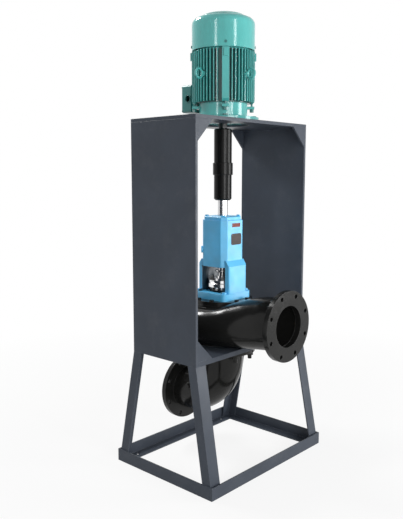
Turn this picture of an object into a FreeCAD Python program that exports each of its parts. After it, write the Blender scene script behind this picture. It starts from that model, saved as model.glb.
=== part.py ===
import FreeCAD, Part
import math
import os

os.makedirs("parts", exist_ok=True)

V = FreeCAD.Vector
X_AXIS = V(1, 0, 0)
Y_AXIS = V(0, 1, 0)
Z_AXIS = V(0, 0, 1)

# Frame: origin on the floor under the shaft, +Z up, the discharge flange faces -Y and the
# suction flange faces +Y. All sizes are in millimetres.

# Driving dimensions of the frame
FRAME_WIDTH = 838.0
FRAME_DEPTH = 414.0
FRAME_TOP = 1700.0
PANEL_THICK = 14.0
MOTOR_PLATE_THICK = 16.0
PUMP_PLATE_TOP = 608.5
PUMP_PLATE_THICK = 22.0
BASE_WIDTH = 871.0
BASE_DEPTH = 639.0
BASE_ANGLE = 60.5
ANGLE_THICK = 6.0
LEG_FRONT_FLANGE = 65.0
LEG_SIDE_FLANGE = 50.0
GUSSET_SIDE = 98.0
GUSSET_THICK = 10.0
ANCHOR_SPACING_X = 660.0
ANCHOR_HOLE_R = 9.0

# Driving dimensions of the pipe flanges, both of the 200 mm size
PIPE_BORE_R = 100.0
PIPE_FLANGE_R = 170.0
PIPE_BOLT_CIRCLE_R = 147.5
PIPE_BOLTS = 8
PIPE_BOLT_HOLE_R = 11.0
GASKET_THICK = 2.0

# Driving dimensions of the casing
SCROLL_Z = 706.0
DISCHARGE_Z = 735.0
DISCHARGE_FACE_Y = -412.0
DISCHARGE_FLANGE_THICK = 26.0
CASING_TOP = 805.0
CASING_RING_R = 152.0
CHAMBER_R = 118.0
IMPELLER_R = 113.0
COVER_FLANGE_THICK = 20.0
STUFFING_BOX_TOP = 868.0
PACKING_R = 43.0
SLEEVE_R = 30.0

# Driving dimensions of the suction elbow
ELBOW_TOP_FLANGE_THICK = 30.0
ELBOW_BEND_R = 226.0
ELBOW_AXIS_Z = 300.0
ELBOW_TUBE_R = 110.0
SUCTION_FACE_Y = 272.0
SUCTION_FLANGE_THICK = 25.0

# Driving dimensions of the bearing housing
HOUSING_HALF = 82.0
HOUSING_CHAMFER = 25.0
HOUSING_DIAGONAL = HOUSING_HALF - HOUSING_CHAMFER / 2
HOUSING_TOP = 1219.0
WINDOW_TOP = 988.0
HOUSING_FOOT_TOP = 859.0
FOOT_HALF_X = 105.0
FOOT_HALF_Y = 103.0
FOOT_CORNER_R = 22.0
PILLAR_HALF_X = 68.0
PILLAR_INNER_Y = 76.0
PUMP_SHAFT_R = 24.0

# Driving dimensions of the coupling
COUPLING_BOTTOM = 1317.0
COUPLING_TOP = 1667.0
COUPLING_R = 44.0
COUPLING_RING_R = 49.5
COUPLING_RING_BOTTOM = 1441.0
COUPLING_RING_TOP = 1501.0
JAW_BOTTOM = 1456.0
JAW_TOP = 1486.0

# Driving dimensions of the motor
MOTOR_FLANGE_R = 175.0
MOTOR_FLANGE_THICK = 18.0
MOTOR_BOLT_CIRCLE_R = 150.0
MOTOR_SPIGOT_R = 125.0
SHIELD_R = 119.0
STATOR_FRAME_BOTTOM = 1785.0
STATOR_FRAME_TOP = 2030.0
STATOR_FRAME_R = 130.0
STATOR_R = 118.0
FIN_R = 153.5
FIN_THICK = 3.6
FIN_COUNT = 54
PAD_WIDTH = 34.0
PAD_ANGLES = (45, 135, 225, 315)
ROTOR_R = 75.2
MOTOR_SHAFT_R = 21.0
COWL_BOTTOM = 2034.0
COWL_R = 153.0
CAP_R = 105.0
MOTOR_TOP = 2206.0


# Small building helpers
def box(x0, y0, z0, x1, y1, z1):
    return Part.makeBox(x1 - x0, y1 - y0, z1 - z0, V(x0, y0, z0))


def cylinder(radius, z0, z1, x=0.0, y=0.0):
    return Part.makeCylinder(radius, z1 - z0, V(x, y, z0))


def ring(outer, inner, z0, z1):
    return cylinder(outer, z0, z1).cut(cylinder(inner, z0 - 1, z1 + 1))


def cylinder_y(radius, y0, y1, x, z):
    return Part.makeCylinder(radius, y1 - y0, V(x, y0, z), Y_AXIS)


def prism(points, direction):
    corners = [V(*p) for p in points]
    face = Part.Face(Part.makePolygon(corners + [corners[0]]))
    return face.extrude(direction)


def turned(profile):
    """Solid of revolution about the shaft line from (radius, height) points."""
    corners = [V(r, 0, z) for r, z in profile]
    face = Part.Face(Part.makePolygon(corners + [corners[0]]))
    return face.revolve(V(0, 0, 0), Z_AXIS, 360)


def spun(shape, angle):
    copy = shape.copy()
    copy.rotate(V(0, 0, 0), Z_AXIS, angle)
    return copy


def moved(shape, x, y, z):
    copy = shape.copy()
    copy.translate(V(x, y, z))
    return copy


def polar(radius, angle):
    a = math.radians(angle)
    return radius * math.cos(a), radius * math.sin(a)


def hexagon(across_flats, z0, z1, x=0.0, y=0.0):
    corner_r = across_flats / math.sqrt(3)
    corners = [(x + polar(corner_r, 60 * i)[0], y + polar(corner_r, 60 * i)[1], z0) for i in range(6)]
    return prism(corners, V(0, 0, z1 - z0))


def fused(shapes):
    return shapes[0].multiFuse(shapes[1:]).removeSplitter()


def drilled(shape, tools):
    return shape.cut(Part.makeCompound(tools))


def group(shapes):
    return Part.makeCompound(shapes)


def bolt_up(radius, across_flats, head_height, head_z, length, x, y):
    """Bolt with its head on top at head_z and its shank going down."""
    head = hexagon(across_flats, head_z, head_z + head_height, x, y)
    return fused([head, cylinder(radius, head_z - length, head_z + 1, x, y)])


def bolt_down(radius, across_flats, head_height, head_z, length, x, y):
    """Bolt with its head below head_z and its shank going up."""
    head = hexagon(across_flats, head_z - head_height, head_z, x, y)
    return fused([head, cylinder(radius, head_z - 1, head_z + length, x, y)])


def aimed(shape, direction, x, y, z):
    """Turn a shape built along +Z to point along direction, then put it in place."""
    turn = FreeCAD.Rotation(Z_AXIS, V(*direction))
    copy = shape.copy()
    copy.Placement = FreeCAD.Placement(V(x, y, z), turn).multiply(copy.Placement)
    return copy


def export(name, shape):
    shape.exportStep("parts/%s.step" % name)
    solids = shape.Solids
    volume = sum(s.Volume for s in solids) / 1000.0
    print("%-24s solids %3d valid %s volume %.1f cm3" % (name, len(solids), shape.isValid(), volume))


HALF_W = FRAME_WIDTH / 2
HALF_D = FRAME_DEPTH / 2
BASE_HALF_W = BASE_WIDTH / 2
BASE_HALF_D = BASE_DEPTH / 2
PUMP_PLATE_BOTTOM = PUMP_PLATE_TOP - PUMP_PLATE_THICK
MOTOR_PLATE_BOTTOM = FRAME_TOP - MOTOR_PLATE_THICK
PIPE_BOLT_ANGLES = [360.0 / PIPE_BOLTS * (i + 0.5) for i in range(PIPE_BOLTS)]


# Base rails: steel angle, one flange on the floor pointing inwards
def front_rail():
    outer = -BASE_HALF_D
    upright = box(-BASE_HALF_W, outer, 0, BASE_HALF_W, outer + ANGLE_THICK, BASE_ANGLE)
    flat = box(-BASE_HALF_W, outer, 0, BASE_HALF_W, outer + BASE_ANGLE, ANGLE_THICK)
    hole_y = outer + BASE_ANGLE / 2
    holes = [cylinder(ANCHOR_HOLE_R, -1, ANGLE_THICK + 1, side * ANCHOR_SPACING_X / 2, hole_y)
             for side in (-1, 1)]
    return drilled(fused([upright, flat]), holes)


def side_rail():
    outer = BASE_HALF_W
    upright = box(outer - ANGLE_THICK, -BASE_HALF_D, 0, outer, BASE_HALF_D, BASE_ANGLE)
    flat = box(outer - BASE_ANGLE, -BASE_HALF_D, 0, outer, BASE_HALF_D, ANGLE_THICK)
    coped = fused([upright, flat])
    rail = front_rail()
    return coped.cut(rail).cut(spun(rail, 180))


# Legs: angles splayed from the pump plate down into the corners of the base angle
def leg(side_x, side_y):
    def outline(corner_x, corner_y, z):
        inward_x = -side_x
        inward_y = -side_y
        steps = [(0, 0), (LEG_FRONT_FLANGE, 0), (LEG_FRONT_FLANGE, ANGLE_THICK),
                 (ANGLE_THICK, ANGLE_THICK), (ANGLE_THICK, LEG_SIDE_FLANGE), (0, LEG_SIDE_FLANGE)]
        corners = [V(corner_x + inward_x * a, corner_y + inward_y * b, z) for a, b in steps]
        return Part.makePolygon(corners + [corners[0]])
    top = outline(side_x * HALF_W, side_y * HALF_D, PUMP_PLATE_BOTTOM)
    bottom = outline(side_x * (BASE_HALF_W - ANGLE_THICK), side_y * (BASE_HALF_D - ANGLE_THICK), ANGLE_THICK)
    return Part.makeLoft([bottom, top], True, True)


def side_panel():
    return box(HALF_W - PANEL_THICK, -HALF_D, PUMP_PLATE_BOTTOM, HALF_W, HALF_D, MOTOR_PLATE_BOTTOM)


def motor_plate():
    plate = box(-HALF_W, -HALF_D, MOTOR_PLATE_BOTTOM, HALF_W, HALF_D, FRAME_TOP)
    bore = cylinder(MOTOR_SPIGOT_R, MOTOR_PLATE_BOTTOM - 1, FRAME_TOP + 1)
    holes = [cylinder(8.05, FRAME_TOP - 14, FRAME_TOP + 1, *polar(MOTOR_BOLT_CIRCLE_R, a))
             for a in PAD_ANGLES]
    return drilled(plate, [bore] + holes)


def pump_plate():
    inner = HALF_W - PANEL_THICK
    plate = box(-inner, -HALF_D, PUMP_PLATE_BOTTOM, inner, HALF_D, PUMP_PLATE_TOP)
    bore = cylinder(PIPE_BORE_R, PUMP_PLATE_BOTTOM - 1, PUMP_PLATE_TOP + 1)
    holes = [cylinder(PIPE_BOLT_HOLE_R, PUMP_PLATE_BOTTOM - 1, PUMP_PLATE_TOP + 1,
                      *polar(PIPE_BOLT_CIRCLE_R, a)) for a in PIPE_BOLT_ANGLES]
    return drilled(plate, [bore] + holes)


def corner_gussets():
    inner = HALF_W - PANEL_THICK
    pieces = []
    for side_x in (-1, 1):
        for y0 in (-HALF_D, HALF_D - GUSSET_THICK):
            for z, up in ((MOTOR_PLATE_BOTTOM, -1), (PUMP_PLATE_TOP, 1)):
                corners = [(side_x * inner, y0, z), (side_x * (inner - GUSSET_SIDE), y0, z),
                           (side_x * inner, y0, z + up * GUSSET_SIDE)]
                pieces.append(prism(corners, V(0, GUSSET_THICK, 0)))
    return group(pieces)


# Casing: a scroll that grows anticlockwise from the tongue and sweeps into a rising discharge neck
THROAT_ANGLE = 205
SCROLL_SWEEP = 240
SCROLL_STEP = 20
TONGUE_BORE_R = 30.0
THROAT_BORE_R = 80.0
CASING_WALL = 12.0
NECK_STEPS = 8
NECK_END_Y = -384.0
NECK_PULL = 330.0
NECK_SWELL = 15.0
NECK_LIFT = 8.0
NECK_END_BORE_R = 98.5
NECK_END_WALL = 30.0


def section_circle(x, y, z, radius, turn):
    circle = Part.Wire(Part.Circle(V(0, 0, 0), Y_AXIS, radius).toShape())
    circle.rotate(V(0, 0, 0), Z_AXIS, turn)
    circle.translate(V(x, y, z))
    return circle


def scroll_centre_r(bore_r):
    return 108.0 + 0.62 * bore_r


def neck_section(t, hollow):
    """One circle on the curved centre line from the throat (t = 0) to the flange (t = 1)."""
    start_x, start_y = polar(scroll_centre_r(THROAT_BORE_R), THROAT_ANGLE)
    pull_x, pull_y = polar(NECK_PULL, THROAT_ANGLE + 90)
    blend = 3 * t ** 2 - 2 * t ** 3
    leave = t - 2 * t ** 2 + t ** 3
    arrive = t ** 2 - t ** 3
    x = start_x * (1 - blend) + pull_x * leave
    y = start_y * (1 - blend) + pull_y * leave + NECK_END_Y * blend + NECK_PULL * arrive
    slope = 6 * t - 6 * t ** 2
    slope_leave = 1 - 4 * t + 3 * t ** 2
    slope_x = pull_x * slope_leave - start_x * slope
    slope_y = pull_y * slope_leave + (NECK_END_Y - start_y) * slope + NECK_PULL * (2 * t - 3 * t ** 2)
    turn = math.degrees(math.atan2(-slope_x, slope_y))
    swell = math.sin(math.pi * t)
    z = SCROLL_Z + (DISCHARGE_Z - SCROLL_Z) * blend + NECK_LIFT * swell
    bore_r = THROAT_BORE_R + (NECK_END_BORE_R - THROAT_BORE_R) * blend + NECK_SWELL * swell
    wall = 0.0 if hollow else CASING_WALL + (NECK_END_WALL - CASING_WALL) * t ** 2
    return section_circle(x, y, z, bore_r + wall, turn)


def scroll_and_neck(hollow):
    wires = []
    wall = 0.0 if hollow else CASING_WALL
    for sweep in range(0, SCROLL_SWEEP, SCROLL_STEP):
        angle = THROAT_ANGLE - SCROLL_SWEEP + sweep
        bore_r = TONGUE_BORE_R + (THROAT_BORE_R - TONGUE_BORE_R) * sweep / SCROLL_SWEEP
        x, y = polar(scroll_centre_r(bore_r), angle)
        wires.append(section_circle(x, y, SCROLL_Z, bore_r + wall, angle))
    wires += [neck_section(i / float(NECK_STEPS), hollow) for i in range(NECK_STEPS + 1)]
    return Part.makeLoft(wires, True, False)


def volute_casing():
    foot_bottom = PUMP_PLATE_TOP + GASKET_THICK
    foot = cylinder(PIPE_FLANGE_R, foot_bottom, foot_bottom + 24)
    core = turned([(0, foot_bottom), (122, foot_bottom), (122, 640), (138, 668), (138, 770),
                   (CASING_RING_R, 783), (CASING_RING_R, CASING_TOP), (0, CASING_TOP)])
    flange = cylinder_y(PIPE_FLANGE_R, DISCHARGE_FACE_Y, DISCHARGE_FACE_Y + DISCHARGE_FLANGE_THICK, 0,
                        DISCHARGE_Z)
    neck_end_r = PIPE_BORE_R + NECK_END_WALL
    neck_end = cylinder_y(neck_end_r, DISCHARGE_FACE_Y + 1, NECK_END_Y + 2, 0, DISCHARGE_Z)
    body = foot.fuse(core).fuse(scroll_and_neck(False)).fuse(neck_end).fuse(flange)
    waterway = turned([(0, foot_bottom - 1), (PIPE_BORE_R, foot_bottom - 1), (PIPE_BORE_R, 618), (92.05, 640),
                       (92.05, 658), (CHAMBER_R, 658), (CHAMBER_R, CASING_TOP + 1), (0, CASING_TOP + 1)])
    mouth = cylinder_y(PIPE_BORE_R, DISCHARGE_FACE_Y - 1, NECK_END_Y + 2, 0, DISCHARGE_Z)
    recess = cylinder(CASING_RING_R + 2, CASING_TOP, COVER_TOP + 60)
    plate_room = box(-HALF_W, -HALF_D - 3, 500, HALF_W, HALF_D + 3, foot_bottom)
    body = body.cut(waterway).cut(scroll_and_neck(True)).cut(mouth).cut(recess).cut(plate_room)
    holes = []
    for a in PIPE_BOLT_ANGLES:
        x, y = polar(PIPE_BOLT_CIRCLE_R, a)
        holes.append(cylinder(10.05, foot_bottom - 1, foot_bottom + 20, x, y))
        holes.append(cylinder_y(PIPE_BOLT_HOLE_R, DISCHARGE_FACE_Y - 1,
                                DISCHARGE_FACE_Y + DISCHARGE_FLANGE_THICK + 1, x, DISCHARGE_Z + y))
    for a in COVER_BOLT_ANGLES:
        holes.append(cylinder(6.05, CASING_TOP - 20, CASING_TOP + 1, *polar(COVER_BOLT_CIRCLE_R, a)))
    return drilled(body, holes)


COVER_BOLT_CIRCLE_R = 136.0
COVER_BOLT_ANGLES = [quarter + step for quarter in (0, 90, 180, 270) for step in (-18, 18)]
FOOT_BOLT_XY = [(sx * (FOOT_HALF_X - FOOT_CORNER_R), sy * (FOOT_HALF_Y - FOOT_CORNER_R))
                for sx in (-1, 1) for sy in (-1, 1)]
COVER_TOP = CASING_TOP + COVER_FLANGE_THICK
GLAND_STUD_R = 54.0
GLAND_STUD_ANGLES = (45, 135, 225, 315)
GLAND_STUD_BOTTOM = 842.0
GLAND_TOP = 918.0


def casing_cover():
    body = turned([(SLEEVE_R + 1, 762), (CHAMBER_R - 0.1, 762), (CHAMBER_R - 0.1, CASING_TOP),
                   (CASING_RING_R, CASING_TOP), (CASING_RING_R, COVER_TOP), (65, COVER_TOP),
                   (65, STUFFING_BOX_TOP), (PACKING_R, STUFFING_BOX_TOP), (PACKING_R, 778),
                   (SLEEVE_R + 1, 778)])
    holes = [cylinder(6.5, CASING_TOP - 1, COVER_TOP + 1, *polar(COVER_BOLT_CIRCLE_R, a))
             for a in COVER_BOLT_ANGLES]
    holes += [cylinder(8.05, COVER_TOP - 18, COVER_TOP + 1, x, y) for x, y in FOOT_BOLT_XY]
    holes += [cylinder(6.05, GLAND_STUD_BOTTOM - 1, STUFFING_BOX_TOP + 1, *polar(GLAND_STUD_R, a))
              for a in GLAND_STUD_ANGLES]
    return drilled(body, holes)


def wear_ring():
    return ring(92.0, 85.5, 641, 657)


# Impeller: two shrouds with backward-curved vanes between them, eye facing down
VANES = 5
VANE_BOTTOM = 690.0
VANE_TOP = 741.0


def impeller_vane():
    start = V(40, 0, VANE_BOTTOM)
    middle = V(78, -26, VANE_BOTTOM)
    end = V(66, -88, VANE_BOTTOM)
    thick = 7.0
    start_in = start + V(-2, -thick, 0)
    middle_in = middle + V(-thick, -thick, 0)
    end_in = end + V(-thick, -2, 0)
    outer = Part.Arc(start, middle, end).toShape()
    inner = Part.Arc(end_in, middle_in, start_in).toShape()
    join_a = Part.LineSegment(end, end_in).toShape()
    join_b = Part.LineSegment(start_in, start).toShape()
    face = Part.Face(Part.Wire([outer, join_a, inner, join_b]))
    return face.extrude(V(0, 0, VANE_TOP - VANE_BOTTOM))


def impeller():
    back = turned([(PUMP_SHAFT_R - 5, 690), (34, 690), (34, 728), (50, 741), (IMPELLER_R, 741),
                   (IMPELLER_R, 749), (34, 749), (34, 756), (PUMP_SHAFT_R - 5, 756)])
    front = turned([(79, 646), (85, 646), (85, 668), (96, 680), (IMPELLER_R, 682), (IMPELLER_R, 690),
                    (92, 691), (79, 676)])
    vanes = [spun(impeller_vane(), 360.0 / VANES * i) for i in range(VANES)]
    return fused([back, front] + vanes).cut(impeller_key())


def impeller_nut():
    return fused([hexagon(46, 668, 690), turned([(0, 655), (14, 658), (21, 668), (0, 668)])]).cut(
        cylinder(12.05, 664, 691))


# Pump shaft, its sleeve and the stuffing box
SHAFT_END = 1397.0
LOWER_BEARING_Z = (1028.0, 1058.0)
UPPER_BEARING_Z = (1160.0, 1214.0)
LOWER_SEAT_R = 27.5
UPPER_SEAT_R = 25.0
KEY_HALF = 7.0


def pump_shaft():
    shaft = turned([(0, 666), (12, 666), (12, 690), (19, 690), (19, 756), (PUMP_SHAFT_R, 756),
                    (PUMP_SHAFT_R, 980), (LOWER_SEAT_R, 984), (LOWER_SEAT_R, LOWER_BEARING_Z[1]),
                    (32, LOWER_BEARING_Z[1]), (32, UPPER_BEARING_Z[0]), (UPPER_SEAT_R, UPPER_BEARING_Z[0]),
                    (UPPER_SEAT_R, UPPER_BEARING_Z[1]), (PUMP_SHAFT_R, UPPER_BEARING_Z[1] + 2),
                    (PUMP_SHAFT_R, SHAFT_END), (0, SHAFT_END)])
    return drilled(shaft, [pump_key(), impeller_key()])


def pump_key():
    return box(PUMP_SHAFT_R - 5, -KEY_HALF, 1325, PUMP_SHAFT_R + 3.5, KEY_HALF, 1385)


def impeller_key():
    return box(14, -5, 698, 22, 5, 742)


def motor_key():
    return box(MOTOR_SHAFT_R - 5, -6, 1600, MOTOR_SHAFT_R + 3, 6, 1658)


def shaft_sleeve():
    return ring(SLEEVE_R, PUMP_SHAFT_R + 0.03, 756, 936)


def gland_packing():
    thick = 12.0
    return group([ring(PACKING_R - 0.1, SLEEVE_R + 0.3, 779 + thick * i, 779 + thick * (i + 1) - 0.5)
                  for i in range(5)])


def gland_follower():
    body = turned([(SLEEVE_R + 0.8, 840), (PACKING_R - 0.4, 840), (PACKING_R - 0.4, 883), (74, 883),
                   (74, 901), (71, 904), (71, GLAND_TOP), (41, GLAND_TOP), (41, GLAND_TOP + 6),
                   (SLEEVE_R + 0.8, GLAND_TOP + 6)])
    holes = [cylinder(7.0, 880, GLAND_TOP + 1, *polar(GLAND_STUD_R, a)) for a in GLAND_STUD_ANGLES]
    return drilled(body, holes)


def gland_studs():
    pieces = []
    for a in GLAND_STUD_ANGLES:
        x, y = polar(GLAND_STUD_R, a)
        nut = hexagon(19, GLAND_TOP + 0.2, GLAND_TOP + 10, x, y)
        pieces.append(nut.cut(cylinder(6.02, GLAND_TOP - 1, GLAND_TOP + 11, x, y)))
        pieces.append(cylinder(6.0, GLAND_STUD_BOTTOM, GLAND_TOP + 18, x, y))
    return group(pieces)


# Bearing housing: foot, two pillars around the gland window and a chamfered square column
def chamfered_square(half, chamfer, z0, z1):
    near = half - chamfer
    corners = [(half, near), (near, half), (-near, half), (-half, near),
               (-half, -near), (-near, -half), (near, -half), (half, -near)]
    return prism([(x, y, z0) for x, y in corners], V(0, 0, z1 - z0))


def bearing_housing():
    foot = box(-FOOT_HALF_X, -FOOT_HALF_Y, COVER_TOP, FOOT_HALF_X, FOOT_HALF_Y, HOUSING_FOOT_TOP)
    upright = [e for e in foot.Edges if abs(e.tangentAt(e.FirstParameter).z) > 0.9]
    foot = foot.makeFillet(FOOT_CORNER_R, upright)
    column = chamfered_square(HOUSING_HALF, HOUSING_CHAMFER, WINDOW_TOP, HOUSING_TOP)
    edges = [e for e in column.Edges if abs(e.tangentAt(e.FirstParameter).z) > 0.9]
    column = column.makeFillet(6.0, edges)
    pillar_out = FOOT_HALF_Y - 2
    profile = [(PILLAR_INNER_Y, HOUSING_FOOT_TOP), (pillar_out, HOUSING_FOOT_TOP), (pillar_out, 993),
               (HOUSING_HALF - 1, 1022), (PILLAR_INNER_Y - 4, 1022)]
    pillar = prism([(-PILLAR_HALF_X, y, z) for y, z in profile], V(2 * PILLAR_HALF_X, 0, 0))
    rounded = [e for e in pillar.Edges if abs(e.tangentAt(e.FirstParameter).z) > 0.9
               and e.CenterOfMass.y > pillar_out - 1]
    pillar = pillar.makeFillet(8.0, rounded)
    boss = aimed(cylinder(17, -6, 9), (-1, 1, 0), -HOUSING_DIAGONAL, HOUSING_DIAGONAL, 1070.0)
    body = fused([foot, column, pillar, spun(pillar, 180), boss])
    bores = turned([(0, COVER_TOP - 1), (66, COVER_TOP - 1), (66, HOUSING_FOOT_TOP + 1),
                    (0, HOUSING_FOOT_TOP + 1)])
    inside = turned([(0, WINDOW_TOP - 1), (LOWER_SEAT_R + 1, WINDOW_TOP - 1), (LOWER_SEAT_R + 1, 1022),
                     (50, 1022), (50, 1066), (54, 1070), (54, 1154), (55, 1156), (55, HOUSING_TOP + 1),
                     (0, HOUSING_TOP + 1)])
    holes = [cylinder(8.5, COVER_TOP - 1, HOUSING_FOOT_TOP + 1, x, y) for x, y in FOOT_BOLT_XY]
    holes += [cylinder(5.05, HOUSING_TOP - 30, HOUSING_TOP + 1, *polar(TOP_COVER_BOLT_R, a))
              for a in PAD_ANGLES]
    for nipple in nipple_places():
        holes.append(aimed(cylinder(4.05, -60, 1), *nipple))
    return drilled(body, [bores, inside] + holes)


TOP_COVER_BOLT_R = 79.0
TOP_COVER_HALF = 75.0


def bearing_top_cover():
    plate = chamfered_square(TOP_COVER_HALF, 22.0, HOUSING_TOP, HOUSING_TOP + 19)
    edges = [e for e in plate.Edges if e.CenterOfMass.z > HOUSING_TOP + 18]
    plate = plate.makeChamfer(3.0, edges)
    spigot = ring(54.9, 46.0, UPPER_BEARING_Z[1] + 0.2, HOUSING_TOP + 1)
    holes = [cylinder(5.5, HOUSING_TOP - 1, HOUSING_TOP + 20, *polar(TOP_COVER_BOLT_R, a))
             for a in PAD_ANGLES]
    shaft_hole = cylinder(PUMP_SHAFT_R + 1.5, HOUSING_TOP - 10, HOUSING_TOP + 20)
    return drilled(fused([plate, spigot]), holes + [shaft_hole])


def bearing_cover_bolts():
    return group([bolt_up(5.0, 16, 6.5, HOUSING_TOP + 19, 40, *polar(TOP_COVER_BOLT_R, a))
                  for a in PAD_ANGLES])


def outer_race(radius, thick, z0, z1):
    return ring(radius - 0.02, radius - thick, z0, z1)


def inner_race(radius, thick, ball_circle_r, ball_r, rows, z0, z1):
    pieces = [ring(radius + thick, radius + 0.02, z0, z1)]
    count = int(math.pi * ball_circle_r / (ball_r * 1.15))
    for row in range(rows):
        z = z0 + (z1 - z0) * (row + 0.5) / rows
        for i in range(count):
            x, y = polar(ball_circle_r, 360.0 / count * i)
            pieces.append(Part.makeSphere(ball_r, V(x, y, z)))
    return pieces


def pump_outer_races():
    return group([outer_race(55, 8, *UPPER_BEARING_Z), outer_race(50, 7, *LOWER_BEARING_Z)])


def pump_inner_races():
    return group(inner_race(UPPER_SEAT_R, 8, 40, 6.4, 2, *UPPER_BEARING_Z)
                 + inner_race(LOWER_SEAT_R, 6.5, 38.5, 4.2, 1, *LOWER_BEARING_Z))


def shaft_slinger():
    return turned([(PUMP_SHAFT_R + 0.05, 954), (32, 954), (38, 961), (38, 965), (32, 967),
                   (PUMP_SHAFT_R + 0.05, 967)])


def nipple_places():
    return [((1, 1, 0), HOUSING_DIAGONAL, HOUSING_DIAGONAL, z) for z in (1043.0, 1186.0)]


def grease_nipples():
    ball = Part.makeSphere(4.0, V(0, 0, 14))
    shape = fused([hexagon(12, 0, 7), cylinder(4.0, -12, 1), cylinder(3.2, 6, 13), ball])
    return group([aimed(shape, *place) for place in nipple_places()])


def housing_foot_bolts():
    return group([bolt_up(8.0, 24, 10, HOUSING_FOOT_TOP, 51, x, y) for x, y in FOOT_BOLT_XY])


def casing_cover_bolts():
    return group([bolt_up(6.0, 19, 8, COVER_TOP, 38, *polar(COVER_BOLT_CIRCLE_R, a))
                  for a in COVER_BOLT_ANGLES])


# Suction elbow under the pump plate
def elbow_tube(radius):
    top = PUMP_PLATE_BOTTOM - GASKET_THICK
    bend_top = ELBOW_AXIS_Z + ELBOW_BEND_R
    drop = cylinder(radius, bend_top, top)
    circle = Part.Face(Part.Wire(Part.Circle(V(0, 0, bend_top), Z_AXIS, radius).toShape()))
    bend = circle.revolve(V(0, ELBOW_BEND_R, bend_top), X_AXIS, 90)
    run = cylinder_y(radius, ELBOW_BEND_R, SUCTION_FACE_Y, 0, ELBOW_AXIS_Z)
    return fused([drop, bend, run])


def suction_elbow():
    top = PUMP_PLATE_BOTTOM - GASKET_THICK
    upper_flange = cylinder(PIPE_FLANGE_R, top - ELBOW_TOP_FLANGE_THICK, top)
    pipe_flange = cylinder_y(PIPE_FLANGE_R, SUCTION_FACE_Y - SUCTION_FLANGE_THICK, SUCTION_FACE_Y, 0,
                             ELBOW_AXIS_Z)
    plug_boss = aimed(cylinder(20, -30, 8), *TAPPING)
    body = fused([elbow_tube(ELBOW_TUBE_R), upper_flange, pipe_flange, plug_boss])
    longer = elbow_tube(PIPE_BORE_R)
    holes = [longer, aimed(cylinder(10.05, -40, 9), *TAPPING)]
    for a in PIPE_BOLT_ANGLES:
        x, y = polar(PIPE_BOLT_CIRCLE_R, a)
        holes.append(cylinder(PIPE_BOLT_HOLE_R, top - ELBOW_TOP_FLANGE_THICK - 1, top + 1, x, y))
        holes.append(cylinder_y(PIPE_BOLT_HOLE_R, SUCTION_FACE_Y - SUCTION_FLANGE_THICK - 1,
                                SUCTION_FACE_Y + 1, x, ELBOW_AXIS_Z + y))
    return drilled(body, holes)


TAPPING = ((-1, 0, 0), -ELBOW_TUBE_R, 128.0, 354.0)


def drain_plug():
    plug = fused([hexagon(24, 8, 20), cylinder(10.0, -8, 9)])
    return aimed(plug, *TAPPING)


def flange_gaskets():
    holes = [cylinder(PIPE_BOLT_HOLE_R, 500, 700, *polar(PIPE_BOLT_CIRCLE_R, a)) for a in PIPE_BOLT_ANGLES]
    upper = ring(PIPE_FLANGE_R - 2, PIPE_BORE_R, PUMP_PLATE_TOP, PUMP_PLATE_TOP + GASKET_THICK)
    lower = ring(PIPE_FLANGE_R - 2, PIPE_BORE_R, PUMP_PLATE_BOTTOM - GASKET_THICK, PUMP_PLATE_BOTTOM)
    return group([drilled(upper, holes), drilled(lower, holes)])


def suction_studs():
    nut_top = PUMP_PLATE_BOTTOM - GASKET_THICK - ELBOW_TOP_FLANGE_THICK
    pieces = []
    for a in PIPE_BOLT_ANGLES:
        x, y = polar(PIPE_BOLT_CIRCLE_R, a)
        pieces.append(cylinder(10.0, nut_top - 36, PUMP_PLATE_TOP + GASKET_THICK + 18, x, y))
        thread = cylinder(10.02, nut_top - 20, nut_top + 1, x, y)
        pieces.append(hexagon(30, nut_top - 18, nut_top, x, y).cut(thread))
    return group(pieces)


# Jaw coupling: two hubs, a cushion between their jaws and a retaining ring round them
JAW_SWEEP = 44.0
PAD_SWEEP = 14.0


def jaw(angle):
    height = JAW_TOP - JAW_BOTTOM - 2
    wedge = Part.makeCylinder(COUPLING_R - 0.5, height, V(0, 0, JAW_BOTTOM + 1), Z_AXIS, JAW_SWEEP)
    return spun(wedge.cut(cylinder(18, JAW_BOTTOM - 1, JAW_TOP + 1)), angle - JAW_SWEEP / 2)


def hub_body(z0, z1, bevel_low, bevel_high):
    return turned([(0, z0), (COUPLING_R - bevel_low, z0), (COUPLING_R, z0 + bevel_low),
                   (COUPLING_R, z1 - bevel_high), (COUPLING_R - bevel_high, z1), (0, z1)])


def coupling_motor_hub():
    body = hub_body(JAW_TOP, COUPLING_TOP, 0.5, 5.0)
    jaws = [moved(jaw(a), 0, 0, 1) for a in (0, 120, 240)]
    bore = cylinder(MOTOR_SHAFT_R + 0.03, 1585, COUPLING_TOP + 1)
    return drilled(fused([body] + jaws), [bore, motor_key()])


def coupling_pump_hub():
    body = hub_body(COUPLING_BOTTOM, JAW_BOTTOM, 7.0, 0.5)
    jaws = [moved(jaw(a), 0, 0, -1) for a in (60, 180, 300)]
    bore = cylinder(PUMP_SHAFT_R + 0.03, COUPLING_BOTTOM - 1, SHAFT_END + 3)
    return drilled(fused([body] + jaws), [bore, pump_key()])


def coupling_spider():
    low = JAW_BOTTOM + 2
    high = JAW_TOP - 2
    wedge = Part.makeCylinder(COUPLING_R - 0.6, high - low, V(0, 0, low), Z_AXIS, PAD_SWEEP)
    wedge = wedge.cut(cylinder(12, low - 1, high + 1))
    pads = [spun(wedge, 30 - PAD_SWEEP / 2 + 60 * i) for i in range(6)]
    return fused([ring(17, 8, low, high)] + pads)


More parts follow.
